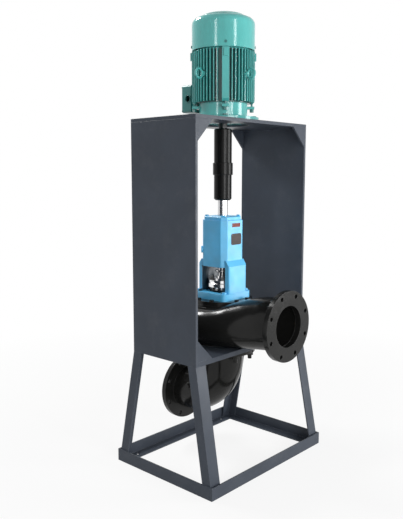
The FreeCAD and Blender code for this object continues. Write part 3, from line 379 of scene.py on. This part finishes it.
def turned_metal(name, colour, roughness, groove_scale):
    """Turned and polished metal with fine rings round its axis and faint smears."""
    f = Finish(name)
    f.fixed(Metallic=1.0)
    rings = f.noise(scale=1.0, detail=2.0, rough=0.5, where=f.stretched(14.0, 14.0, groove_scale))
    tone = f.spread(f.noise(scale=18.0, detail=4.0), *BROAD)
    base = f.colour_between(tone, shade(colour, 0.86), shade(colour, 1.05))
    edge, rounded = f.edge(SMALL_EDGE)
    base = f.colour_between(f.times(edge, 0.4), base, shade(colour, 1.25))
    smears = f.spread(f.noise(scale=30.0, detail=5.0), 0.5, 0.8, 0.0, 0.08)
    rough = f.maths("ADD", f.spread(rings, *BROAD, roughness * 0.7, roughness * 1.3), smears)
    return f.finish(base, rough, f.bump(rings, RING_DEPTH, 0.7, rounded))


def plated_bolt(name, colour, threaded=False):
    """Zinc plated fasteners: cloudy grey metal, slightly stained, with thread lines on studs."""
    f = Finish(name)
    f.fixed(Metallic=1.0)
    cloud = f.spread(f.noise(scale=90.0, detail=4.0), *CLOUDS)
    base = f.colour_between(cloud, shade(colour, 0.75), shade(colour, 1.1))
    stain = f.spread(f.noise(scale=35.0, detail=5.0, rough=0.7), 0.56, 0.75, 0.0, 0.5)
    base = f.colour_between(stain, base, STAIN)
    rough = f.spread(f.noise(scale=60.0, detail=4.0), *BROAD, 0.28, 0.48)
    rounded = f.edge(SMALL_EDGE)[1]
    normal = f.bump(f.noise(scale=500.0, detail=2.0), PLATING_DEPTH, 0.6, rounded)
    if threaded:
        normal = f.bump(f.bands(WAVE_PER_PITCH / THREAD_PITCH), THREAD_DEPTH, 1.0, normal)
    return f.finish(base, rough, normal)


def cast_bronze(name, colour):
    """Unpainted bronze with the grain of its mould."""
    f = Finish(name)
    f.fixed(Metallic=1.0)
    tone = f.spread(f.noise(scale=25.0, detail=5.0), *BROAD)
    base = f.colour_between(tone, shade(colour, 0.7), shade(colour, 1.1))
    rough = f.spread(f.noise(scale=50.0, detail=4.0), *BROAD, 0.3, 0.5)
    return f.finish(base, rough, f.bump(f.noise(scale=220.0, detail=4.0), BRONZE_DEPTH, 0.6))


def soft_black(name, colour, roughness, grain_scale):
    """Rubber, sheet gasket and moulded plastic: fine grain and a dull bloom."""
    f = Finish(name)
    f.fixed(Specular_IOR_Level=0.35)
    bloom = f.spread(f.noise(scale=20.0, detail=5.0), 0.4, 0.75)
    base = f.colour_between(bloom, colour, blended(colour, BLOOM, 0.25))
    rough = f.spread(f.noise(scale=40.0, detail=3.0), *BROAD, roughness * 0.9, roughness * 1.1)
    return f.finish(base, rough, f.bump(f.noise(scale=grain_scale, detail=3.0), RUBBER_DEPTH, 0.7))


def braided_fibre(name, colour):
    """Square braided packing."""
    f = Finish(name)
    f.fixed(Roughness=0.9, Specular_IOR_Level=0.2)
    weave = f.add("ShaderNodeTexVoronoi", feature="F1")
    weave.inputs["Scale"].default_value = 260.0
    f.link(f.place, weave.inputs["Vector"])
    tone = f.spread(weave.outputs["Distance"], 0.0, 0.7)
    base = f.colour_between(tone, shade(colour, 1.1), shade(colour, 0.55))
    return f.finish(base, None, f.bump(weave.outputs["Distance"], WEAVE_DEPTH, 0.8))


def wound_wire(name, colour, lines):
    """Windings or stacked steel sheets: fine parallel lines in the surface."""
    f = Finish(name)
    f.fixed(Metallic=0.8)
    wave = f.bands(lines, distortion=1.2)
    base = f.colour_between(wave, shade(colour, 0.55), shade(colour, 1.1))
    rough = f.spread(f.noise(scale=60.0, detail=3.0), *BROAD, 0.35, 0.55)
    return f.finish(base, rough, f.bump(wave, WIRE_DEPTH, 0.6))


def clad(names, material):
    """Give the material to each named CAD node."""
    for name in names:
        slots = NODES[name].data.materials
        slots.clear()
        slots.append(material)


def look(node):
    """The material that a CAD node has been given."""
    return NODES[node].data.materials[0]


# Small helpers for meshes
def piece_from(name, mesh_builder, material, smooth=False):
    """Build a mesh, give it its finish and let it ride on the still body."""
    data = bpy.data.meshes.new(name)
    mesh = bmesh.new()
    mesh_builder(mesh)
    bmesh.ops.recalc_face_normals(mesh, faces=mesh.faces)
    mesh.to_mesh(data)
    mesh.free()
    for face in data.polygons:
        face.use_smooth = smooth
    piece = bpy.data.objects.new(name, data)
    bpy.context.scene.collection.objects.link(piece)
    data.materials.append(material)
    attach(piece, STILL)


def join_rings(mesh, rings):
    """Faces between each ring of points and the next."""
    for low, high in zip(rings, rings[1:]):
        count = len(low)
        for k in range(count):
            mesh.faces.new((low[k], low[(k + 1) % count], high[(k + 1) % count], high[k]))


def add_bead(mesh, start, end, radius):
    """A weld bead from start to end: a thin rod whose thickness ripples along its run."""
    start, end = Vector(start), Vector(end)
    run = end - start
    steps = max(4, int(run.length / BEAD_RIPPLE) * 2)
    turn = run.normalized().to_track_quat("Z", "Y")
    rings = []
    for i in range(steps + 1):
        share = i / steps
        taper = min(1.0, BEAD_END + BEAD_SWELL * min(share, 1 - share))
        r = radius * taper * (1.0 if i % 2 else BEAD_DIP)
        centre = start + run * share
        ring = []
        for k in range(BEAD_SIDES):
            a = 2 * math.pi * k / BEAD_SIDES
            point = centre + turn @ Vector((r * math.cos(a), r * math.sin(a), 0))
            ring.append(mesh.verts.new(point))
        rings.append(ring)
    join_rings(mesh, rings)
    mesh.faces.new(list(reversed(rings[0])))
    mesh.faces.new(rings[-1])


def add_washer(mesh, centre, upward, inner, outer, thick):
    """A flat ring on a level face, with a small bevel on its outer edge away from the face."""
    turn = Vector((0, 0, upward)).to_track_quat("Z", "Y")
    bevel = thick * WASHER_BEVEL
    profile = [(inner, 0.0), (outer, 0.0), (outer, thick - bevel), (outer - bevel, thick),
               (inner, thick)]
    rings = []
    for k in range(WASHER_SIDES):
        a = 2 * math.pi * k / WASHER_SIDES
        ring = []
        for r, h in profile:
            point = Vector(centre) + turn @ Vector((r * math.cos(a), r * math.sin(a), h))
            ring.append(mesh.verts.new(point))
        rings.append(ring)
    join_rings(mesh, rings + [rings[0]])


def add_plate(mesh, low, high, thick, corner):
    """A thin plate with rounded corners on the housing's front, standing proud towards -Y."""
    points = []
    centres = ((high[0] - corner, high[1] - corner, 0), (low[0] + corner, high[1] - corner, 90),
               (low[0] + corner, low[1] + corner, 180), (high[0] - corner, low[1] + corner, 270))
    for cx, cz, start in centres:
        for k in range(CORNER_STEPS):
            a = math.radians(start + 90 / (CORNER_STEPS - 1) * k)
            points.append((cx + corner * math.cos(a), cz + corner * math.sin(a)))
    inset = thick * PLATE_BEVEL
    mid_x = (low[0] + high[0]) / 2
    mid_z = (low[1] + high[1]) / 2
    layers = []
    for depth, shrink in ((0.0, 0.0), (thick - inset, 0.0), (thick, inset)):
        layer = []
        for x, z in points:
            sx = x - math.copysign(shrink, x - mid_x)
            sz = z - math.copysign(shrink, z - mid_z)
            layer.append(mesh.verts.new((sx, PLATE_FACE_Y - depth, sz)))
        layers.append(layer)
    join_rings(mesh, layers)
    mesh.faces.new(layers[0])
    mesh.faces.new(layers[-1])


def add_rivet(mesh, x, y, z, radius):
    """A low domed rivet head facing -Y."""
    rings = []
    for height, share in RIVET_DOME:
        ring = []
        for k in range(RIVET_SIDES):
            a = 2 * math.pi * k / RIVET_SIDES
            ring.append(mesh.verts.new((x + radius * share * math.cos(a), y - radius * height,
                                        z + radius * share * math.sin(a))))
        rings.append(ring)
    join_rings(mesh, rings)
    mesh.faces.new(rings[-1])
    mesh.faces.new(list(reversed(rings[0])))


# What a user may change
class PumpColours(PropertyGroup):
    frame_paint: FloatVectorProperty(
        name="Frame paint", description="Colour of the steel frame",
        subtype="COLOR", min=0, max=1, default=(0.052, 0.062, 0.080))
    casting: FloatVectorProperty(
        name="Castings", description="Colour of the casing and elbow",
        subtype="COLOR", min=0, max=1, default=(0.011, 0.011, 0.0105))
    housing: FloatVectorProperty(
        name="Bearing housing", description="Colour of the bearing housing",
        subtype="COLOR", min=0, max=1, default=(0.085, 0.50, 0.85))
    motor: FloatVectorProperty(
        name="Motor", description="Colour of the motor",
        subtype="COLOR", min=0, max=1, default=(0.075, 0.42, 0.40))
    coupling: FloatVectorProperty(
        name="Coupling", description="Colour of the coupling",
        subtype="COLOR", min=0, max=1, default=(0.009, 0.009, 0.009))
    steel: FloatVectorProperty(
        name="Bright steel", description="Colour of turned steel",
        subtype="COLOR", min=0, max=1, default=(0.60, 0.60, 0.61))
    plating: FloatVectorProperty(
        name="Studs and nipples", description="Colour of the plated studs, nipples and rivets",
        subtype="COLOR", min=0, max=1, default=(0.42, 0.42, 0.42))
    floor: FloatVectorProperty(
        name="Floor", description="Colour of the floor",
        subtype="COLOR", min=0, max=1, default=(0.80, 0.80, 0.80))


class PumpSizes(PropertyGroup):
    edge_radius: FloatProperty(
        name="Edge radius", description="How far edges look rounded",
        default=0.0025, min=0.0, unit="LENGTH")
    bead_radius: FloatProperty(
        name="Weld bead", description="Radius of the weld beads",
        default=0.0032, min=0.0005, unit="LENGTH")
    plate_thick: FloatProperty(
        name="Blank plates", description="Thickness of the blank plates",
        default=0.0010, min=0.0003, unit="LENGTH")
    washer_thick: FloatProperty(
        name="Washers", description="Thickness of the washers",
        default=0.0022, min=0.0005, unit="LENGTH")
    peel_depth: FloatProperty(
        name="Orange peel", description="Depth of the paint's orange peel",
        default=0.00010, min=0.0, unit="LENGTH")
    cast_depth: FloatProperty(
        name="Casting grain", description="Depth of the dimples in the castings",
        default=0.00045, min=0.0, unit="LENGTH")


class PumpStage(PropertyGroup):
    camera_place: FloatVectorProperty(
        name="Camera", description="Where the camera stands",
        subtype="TRANSLATION", unit="LENGTH", default=(-2.4583, -2.1187, 1.4420))
    heading: FloatProperty(
        name="Heading", description="Camera turn from +Y towards +X",
        subtype="ANGLE", unit="ROTATION", default=math.radians(47.372))
    dip: FloatProperty(
        name="Dip", description="How far the camera looks down",
        subtype="ANGLE", unit="ROTATION", default=math.radians(7.465))
    lens: FloatProperty(
        name="Lens", description="Focal length for a 36 mm high sensor, in millimetres",
        subtype="DISTANCE_CAMERA", default=44.82, min=1.0)
    main_power: FloatProperty(
        name="Main lamp", description="Power of the main lamp",
        unit="POWER", default=110.0)
    fill_power: FloatProperty(
        name="Fill lamp", description="Power of the lamp beside the camera",
        unit="POWER", default=60.0)
    side_power: FloatProperty(
        name="Side lamp", description="Power of the narrow lamp on the left",
        unit="POWER", default=26.0)
    front_power: FloatProperty(
        name="Front lamp", description="Power of the narrow lamp in front",
        unit="POWER", default=36.0)
    top_power: FloatProperty(
        name="Top lamp", description="Power of the lamp above and behind",
        unit="POWER", default=85.0)
    sky: FloatProperty(
        name="Surroundings", description="Strength of the light from all round",
        default=0.24, min=0.0)


# Finishes on the carried-over solids
class PUMP_OT_paint_frame(Operator):
    """Paint the base, legs, side panels, plates and gussets"""
    bl_idname = "pump.paint_frame"
    bl_label = "Paint the frame"

    def execute(self, context):
        sizes = context.scene.pump_sizes
        clad(FRAME_NODES, sprayed_paint(
            "frame_paint_look", context.scene.pump_colours.frame_paint, roughness=0.33,
            peel=sizes.peel_depth, edge_radius=sizes.edge_radius, dust=0.08, shine=0.16))
        return {"FINISHED"}


class PUMP_OT_paint_castings(Operator):
    """Coat the volute casing, its cover and the suction elbow with their bolts"""
    bl_idname = "pump.paint_castings"
    bl_label = "Paint the castings"

    def execute(self, context):
        sizes = context.scene.pump_sizes
        clad(CASTING_NODES, cast_paint(
            "casting_look", context.scene.pump_colours.casting, roughness=0.13,
            grain=sizes.cast_depth, edge_radius=sizes.edge_radius, dust=0.03, shine=0.2))
        return {"FINISHED"}


class PUMP_OT_paint_housing(Operator):
    """Coat the bearing housing, its top cover and their bolts"""
    bl_idname = "pump.paint_housing"
    bl_label = "Paint the bearing housing"

    def execute(self, context):
        sizes = context.scene.pump_sizes
        # The inner faces of the housing's window get painted shade
        clad(HOUSING_NODES, cast_paint(
            "housing_look", context.scene.pump_colours.housing, roughness=0.42,
            grain=sizes.cast_depth * 0.5, edge_radius=sizes.edge_radius, dust=0.03, shine=1.0,
            bare=WINDOW_SHADE))
        return {"FINISHED"}


class PUMP_OT_paint_motor(Operator):
    """Paint the motor's frame, shields, cowl, cap, terminal box and bolts"""
    bl_idname = "pump.paint_motor"
    bl_label = "Paint the motor"

    def execute(self, context):
        sizes = context.scene.pump_sizes
        teal = context.scene.pump_colours.motor
        thick_peel = sizes.peel_depth * 1.5
        clad(MOTOR_NODES, sprayed_paint(
            "motor_paint_look", teal, roughness=0.13, peel=thick_peel,
            edge_radius=sizes.edge_radius, dust=0.05, shine=0.6))
        # Painted shade in the gaps between the fins, darker towards the fins' roots
        clad(FINNED_NODES, sprayed_paint(
            "fin_paint_look", teal, roughness=0.13, peel=thick_peel,
            edge_radius=sizes.edge_radius * 0.5, dust=0.05, shine=0.6, gap_shade=FIN_GAP_SHADE))
        # Painted shade: the terminal box takes the motor's teal at half strength
        clad(BOX_NODES, sprayed_paint(
            "terminal_box_look", shade(teal, 0.5), roughness=0.3, peel=thick_peel,
            edge_radius=sizes.edge_radius, dust=0.1))
        # Painted light: the cap is blended a quarter of the way to a pale tint, lighter than the
        # motor below it
        clad(CAP_NODES, sprayed_paint(
            "cap_paint_look", blended(teal, CAP_LIGHT_TINT, 0.25), roughness=0.2, peel=thick_peel,
            edge_radius=sizes.edge_radius, dust=0.3))
        clad(MOTOR_BOLT_NODES, sprayed_paint(
            "motor_bolt_look", shade(teal, 0.42), roughness=0.25, peel=sizes.peel_depth,
            edge_radius=sizes.edge_radius * 0.4, dust=0.1))
        return {"FINISHED"}


class PUMP_OT_finish_coupling(Operator):
    """Give the coupling hubs and ring their black coat"""
    bl_idname = "pump.finish_coupling"
    bl_label = "Finish the coupling"

    def execute(self, context):
        sizes = context.scene.pump_sizes
        clad(COUPLING_NODES, sprayed_paint(
            "coupling_look", context.scene.pump_colours.coupling, roughness=0.22,
            peel=sizes.peel_depth * 0.6, edge_radius=sizes.edge_radius * 0.6, dust=0.02,
            shine=0.12))
        return {"FINISHED"}


class PUMP_OT_finish_metal(Operator):
    """Give shafts, gland, studs, nipples and bronze parts their metal"""
    bl_idname = "pump.finish_metal"
    bl_label = "Finish the bare metal"

    def execute(self, context):
        steel = context.scene.pump_colours.steel
        plating = context.scene.pump_colours.plating
        clad(TURNED_NODES, turned_metal("bright_steel_look", steel, roughness=0.16,
                                        groove_scale=900.0))
        clad(OILED_NODES, turned_metal("oiled_steel_look", shade(steel, 0.12), roughness=0.35,
                                       groove_scale=900.0))
        clad(POLISHED_NODES, turned_metal("polished_look", shade(steel, 1.5), roughness=0.14,
                                          groove_scale=500.0))
        clad(PLATED_NODES, plated_bolt("bolt_look", plating))
        clad(STUD_NODES, plated_bolt("stud_look", plating, threaded=True))
        clad(BRONZE_NODES, cast_bronze("bronze_look", BRONZE))
        return {"FINISHED"}


class PUMP_OT_finish_inner(Operator):
    """Give rubber, packing, windings, cores and fan their looks"""
    bl_idname = "pump.finish_inner"
    bl_label = "Finish the inner parts"

    def execute(self, context):
        clad(RUBBER_NODES, soft_black("rubber_look", RUBBER, roughness=0.7, grain_scale=700.0))
        clad(FAN_NODES, soft_black("fan_look", FAN_PLASTIC, roughness=0.5, grain_scale=400.0))
        clad(PACKING_NODES, braided_fibre("packing_look", FIBRE))
        clad(WINDING_NODES, wound_wire("copper_look", COPPER, lines=320.0))
        clad(SHEET_STEEL_NODES, wound_wire("sheet_steel_look", SHEET_STEEL, lines=500.0))
        return {"FINISHED"}


# Small pieces
class PUMP_OT_weld_beads(Operator):
    """Lay weld beads along the side panels and where the legs meet the base"""
    bl_idname = "pump.weld_beads"
    bl_label = "Weld beads"

    def execute(self, context):
        radius = context.scene.pump_sizes.bead_radius
        sunk = radius * BEAD_SUNK
        plate_low, plate_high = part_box("pump_plate")
        roof_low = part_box("motor_plate")[0]
        rail_low, rail_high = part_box("base_rail_front")
        leg_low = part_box("leg_front_left")[0]

        def panel_beads(mesh):
            for side in (-1, 1):
                x = side * (plate_high.x - sunk)
                for y in (plate_low.y + PANEL_BEAD_IN, plate_high.y - PANEL_BEAD_IN):
                    for z in (plate_high.z + sunk, roof_low.z - sunk):
                        add_bead(mesh, (x, y - PANEL_BEAD_HALF, z),
                                 (x, y + PANEL_BEAD_HALF, z), radius)

        def foot_beads(mesh):
            corner_x = rail_high.x - ANGLE_THICK
            corner_y = abs(rail_low.y) - ANGLE_THICK
            inside = ANGLE_THICK + sunk
            slope = (corner_y - plate_high.y) / (plate_low.z - leg_low.z)
            edge_y = corner_y - slope * (rail_high.z - leg_low.z)
            z = leg_low.z + sunk
            for sx in (-1, 1):
                for sy in (-1, 1):
                    x = sx * (corner_x - inside)
                    y = sy * (corner_y - inside)
                    add_bead(mesh, (x, y, z), (sx * (corner_x - FOOT_BEAD_X), y, z), radius)
                    add_bead(mesh, (x, y, z), (x, sy * (corner_y - FOOT_BEAD_Y), z), radius)
                    edge_x = sx * (corner_x + radius * BEAD_PROUD)
                    add_bead(mesh, (edge_x, sy * (edge_y - FOOT_BEAD_GAP), rail_high.z),
                             (edge_x, sy * (edge_y - FOOT_BEAD_Y), rail_high.z),
                             radius * THIN_BEAD)

        paint = look("side_panel_left")
        piece_from("panel_weld_beads", panel_beads, paint, smooth=True)
        piece_from("foot_weld_beads", foot_beads, paint, smooth=True)
        return {"FINISHED"}


class PUMP_OT_washers(Operator):
    """Put a washer under the heads of the larger bolts and nuts"""
    bl_idname = "pump.washers"
    bl_label = "Washers"

    def execute(self, context):
        thick = context.scene.pump_sizes.washer_thick

        def rings(places, upward, radii):
            def build(mesh):
                for place in places:
                    add_washer(mesh, place, upward, *radii, thick)
            return build

        def circle(radius, z, angles):
            return [(radius * math.cos(math.radians(a)), radius * math.sin(math.radians(a)), z)
                    for a in angles]

        flange_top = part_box("motor_flange_bolts")[1].z - FLANGE_HEAD
        heads = circle(FLANGE_BOLT_CIRCLE, flange_top, FLANGE_BOLT_ANGLES)
        piece_from("motor_flange_washers", rings(heads, 1, FLANGE_WASHER),
                   look("motor_flange_bolts"))

        foot_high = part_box("housing_foot_bolts")[1]
        foot_x = foot_high.x - FOOT_HEAD_X
        foot_y = foot_high.y - FOOT_HEAD_Y
        heads = [(sx * foot_x, sy * foot_y, foot_high.z - FOOT_HEAD)
                 for sx in (-1, 1) for sy in (-1, 1)]
        piece_from("housing_foot_washers", rings(heads, 1, FOOT_WASHER),
                   look("bearing_housing"))

        elbow_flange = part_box("suction_elbow")[1].z - ELBOW_FLANGE
        nuts = circle(STUD_CIRCLE, elbow_flange, STUD_ANGLES)
        piece_from("suction_stud_washers", rings(nuts, -1, STUD_WASHER),
                   look("suction_studs"))

        cover_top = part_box("casing_cover_bolts")[1].z - COVER_HEAD
        heads = circle(COVER_BOLT_CIRCLE, cover_top, COVER_BOLT_ANGLES)
        piece_from("cover_bolt_washers", rings(heads, 1, COVER_WASHER),
                   look("casing_cover"))
        return {"FINISHED"}


class PUMP_OT_blank_plates(Operator):
    """Rivet two blank plates to the front of the bearing housing"""
    bl_idname = "pump.blank_plates"
    bl_label = "Blank plates"

    def execute(self, context):
        thick = context.scene.pump_sizes.plate_thick
        red = sprayed_paint("red_plate_look", PLATE_RED, roughness=0.5, peel=PLATE_PEEL,
                            edge_radius=RED_PLATE_EDGE, dust=0.2, shine=0.2)
        dark = sprayed_paint("dark_plate_look", PLATE_DARK, roughness=0.5, peel=PLATE_PEEL,
                             edge_radius=DARK_PLATE_EDGE, dust=0.3, shine=0.2)

        def upper(mesh):
            add_plate(mesh, *UPPER_PLATE, thick, UPPER_CORNER)

        def lower(mesh):
            add_plate(mesh, *LOWER_PLATE, thick, LOWER_CORNER)

        def rivets(mesh):
            for places, radius in ((UPPER_RIVETS, UPPER_RIVET), (LOWER_RIVETS, LOWER_RIVET)):
                for x, z in places:
                    add_rivet(mesh, x, PLATE_FACE_Y - thick, z, radius)

        piece_from("upper_blank_plate", upper, red)
        piece_from("lower_blank_plate", lower, dark)
        piece_from("plate_rivets", rivets, look("grease_nipples"), smooth=True)
        return {"FINISHED"}


class PUMP_OT_stage(Operator):
    """Set the floor, the surroundings, the lamps and the camera"""
    bl_idname = "pump.stage"
    bl_label = "Stage"

    def execute(self, context):
        stage = context.scene.pump_stage
        self.floor(context.scene.pump_colours.floor)
        self.surroundings(stage.sky)
        for name, place, size, power in LAMPS:
            self.lamp(name, Vector(place), size, getattr(stage, power))
        self.camera(stage)
        context.scene.view_settings.view_transform = "Standard"
        return {"FINISHED"}

    def floor(self, colour):
        """A plane that shows white to the camera, and still takes the pump's shadow near it."""
        data = bpy.data.meshes.new("floor")
        half = FLOOR_HALF
        data.from_pydata([(-half, -half, 0), (half, -half, 0), (half, half, 0), (-half, half, 0)],
                         [], [(0, 1, 2, 3)])
        floor = bpy.data.objects.new("floor", data)
        bpy.context.scene.collection.objects.link(floor)
        f = Finish("floor_look")
        f.fixed(Roughness=0.9, Specular_IOR_Level=0.1)
        tone = f.spread(f.noise(scale=2.0, detail=3.0), *BROAD)
        f.finish(f.colour_between(tone, shade(colour, 0.99), shade(colour, 1.0)))
        glow = f.add("ShaderNodeEmission")
        glow.inputs["Strength"].default_value = 1.0
        paths = f.add("ShaderNodeLightPath")
        seen = f.maths("MAXIMUM", paths.outputs["Is Camera Ray"], paths.outputs["Is Glossy Ray"])
        seen = f.maths("MAXIMUM", seen, paths.outputs["Is Transmission Ray"])
        share = f.times(seen, f.spread(f.distance(f.place), *FLOOR_GLOW))
        mix = f.add("ShaderNodeMixShader")
        f.link(share, mix.inputs[0])
        f.link(f.shader.outputs[0], mix.inputs[1])
        f.link(glow.outputs[0], mix.inputs[2])
        f.link(mix.outputs[0], f.out.inputs[0])
        data.materials.append(f.material)

    def surroundings(self, strength):
        """White for the rays that see the background, and a soft light for all the others."""
        world = bpy.data.worlds.new("studio")
        bpy.context.scene.world = world
        world.use_nodes = True
        tree = world.node_tree
        tree.nodes.clear()
        out = tree.nodes.new("ShaderNodeOutputWorld")
        lit = tree.nodes.new("ShaderNodeBackground")
        lit.inputs["Color"].default_value = (1.0, 1.0, 1.0, 1.0)
        lit.inputs["Strength"].default_value = strength
        shown = tree.nodes.new("ShaderNodeBackground")
        shown.inputs["Color"].default_value = (1.0, 1.0, 1.0, 1.0)
        shown.inputs["Strength"].default_value = 1.0
        paths = tree.nodes.new("ShaderNodeLightPath")
        first = tree.nodes.new("ShaderNodeMath")
        first.operation = "MAXIMUM"
        second = tree.nodes.new("ShaderNodeMath")
        second.operation = "MAXIMUM"
        mix = tree.nodes.new("ShaderNodeMixShader")
        tree.links.new(paths.outputs["Is Camera Ray"], first.inputs[0])
        tree.links.new(paths.outputs["Is Glossy Ray"], first.inputs[1])
        tree.links.new(first.outputs[0], second.inputs[0])
        tree.links.new(paths.outputs["Is Transmission Ray"], second.inputs[1])
        tree.links.new(second.outputs[0], mix.inputs[0])
        tree.links.new(lit.outputs[0], mix.inputs[1])
        tree.links.new(shown.outputs[0], mix.inputs[2])
        tree.links.new(mix.outputs[0], out.inputs[0])

    def lamp(self, name, place, size, power):
        data = bpy.data.lights.new(name, "AREA")
        data.shape = "RECTANGLE"
        data.size, data.size_y = size
        data.energy = power
        lamp = bpy.data.objects.new(name, data)
        bpy.context.scene.collection.objects.link(lamp)
        lamp.location = place
        lamp.rotation_euler = (place - Vector(AIM)).to_track_quat("Z", "Y").to_euler()

    def camera(self, stage):
        data = bpy.data.cameras.new("camera")
        data.sensor_fit = "VERTICAL"
        data.sensor_height = SENSOR
        data.sensor_width = SENSOR
        data.lens = stage.lens
        camera = bpy.data.objects.new("camera", data)
        bpy.context.scene.collection.objects.link(camera)
        camera.location = stage.camera_place
        camera.rotation_euler = (math.radians(90) - stage.dip, 0.0, -stage.heading)
        bpy.context.scene.camera = camera


class PUMP_PT_panel(Panel):
    """Lists the pump's settings and its steps"""
    bl_idname = "PUMP_PT_panel"
    bl_label = "Vertical dry pit pump"
    bl_space_type = "VIEW_3D"
    bl_region_type = "UI"
    bl_category = "Pump"

    def draw(self, context):
        scene = context.scene
        for group in (scene.pump_colours, scene.pump_sizes, scene.pump_stage):
            box = self.layout.box()
            for key in group.bl_rna.properties.keys():
                if key not in ("rna_type", "name"):
                    box.prop(group, key)
        for step in STEPS:
            self.layout.operator(step.bl_idname)


STEPS = (PUMP_OT_paint_frame, PUMP_OT_paint_castings, PUMP_OT_paint_housing, PUMP_OT_paint_motor,
         PUMP_OT_finish_coupling, PUMP_OT_finish_metal, PUMP_OT_finish_inner, PUMP_OT_weld_beads,
         PUMP_OT_washers, PUMP_OT_blank_plates, PUMP_OT_stage)
GROUPS = (PumpColours, PumpSizes, PumpStage)
KINDS = GROUPS + STEPS + (PUMP_PT_panel,)


def register():
    for kind in KINDS:
        bpy.utils.register_class(kind)
    bpy.types.Scene.pump_colours = PointerProperty(type=PumpColours)
    bpy.types.Scene.pump_sizes = PointerProperty(type=PumpSizes)
    bpy.types.Scene.pump_stage = PointerProperty(type=PumpStage)


def unregister():
    del bpy.types.Scene.pump_stage
    del bpy.types.Scene.pump_sizes
    del bpy.types.Scene.pump_colours
    for kind in reversed(KINDS):
        bpy.utils.unregister_class(kind)


def main():
    register()
    bpy.ops.pump.paint_frame()
    bpy.ops.pump.paint_castings()
    bpy.ops.pump.paint_housing()
    bpy.ops.pump.paint_motor()
    bpy.ops.pump.finish_coupling()
    bpy.ops.pump.finish_metal()
    bpy.ops.pump.finish_inner()
    bpy.ops.pump.weld_beads()
    bpy.ops.pump.washers()
    bpy.ops.pump.blank_plates()
    bpy.ops.pump.stage()


if __name__ == "__main__":
    main()
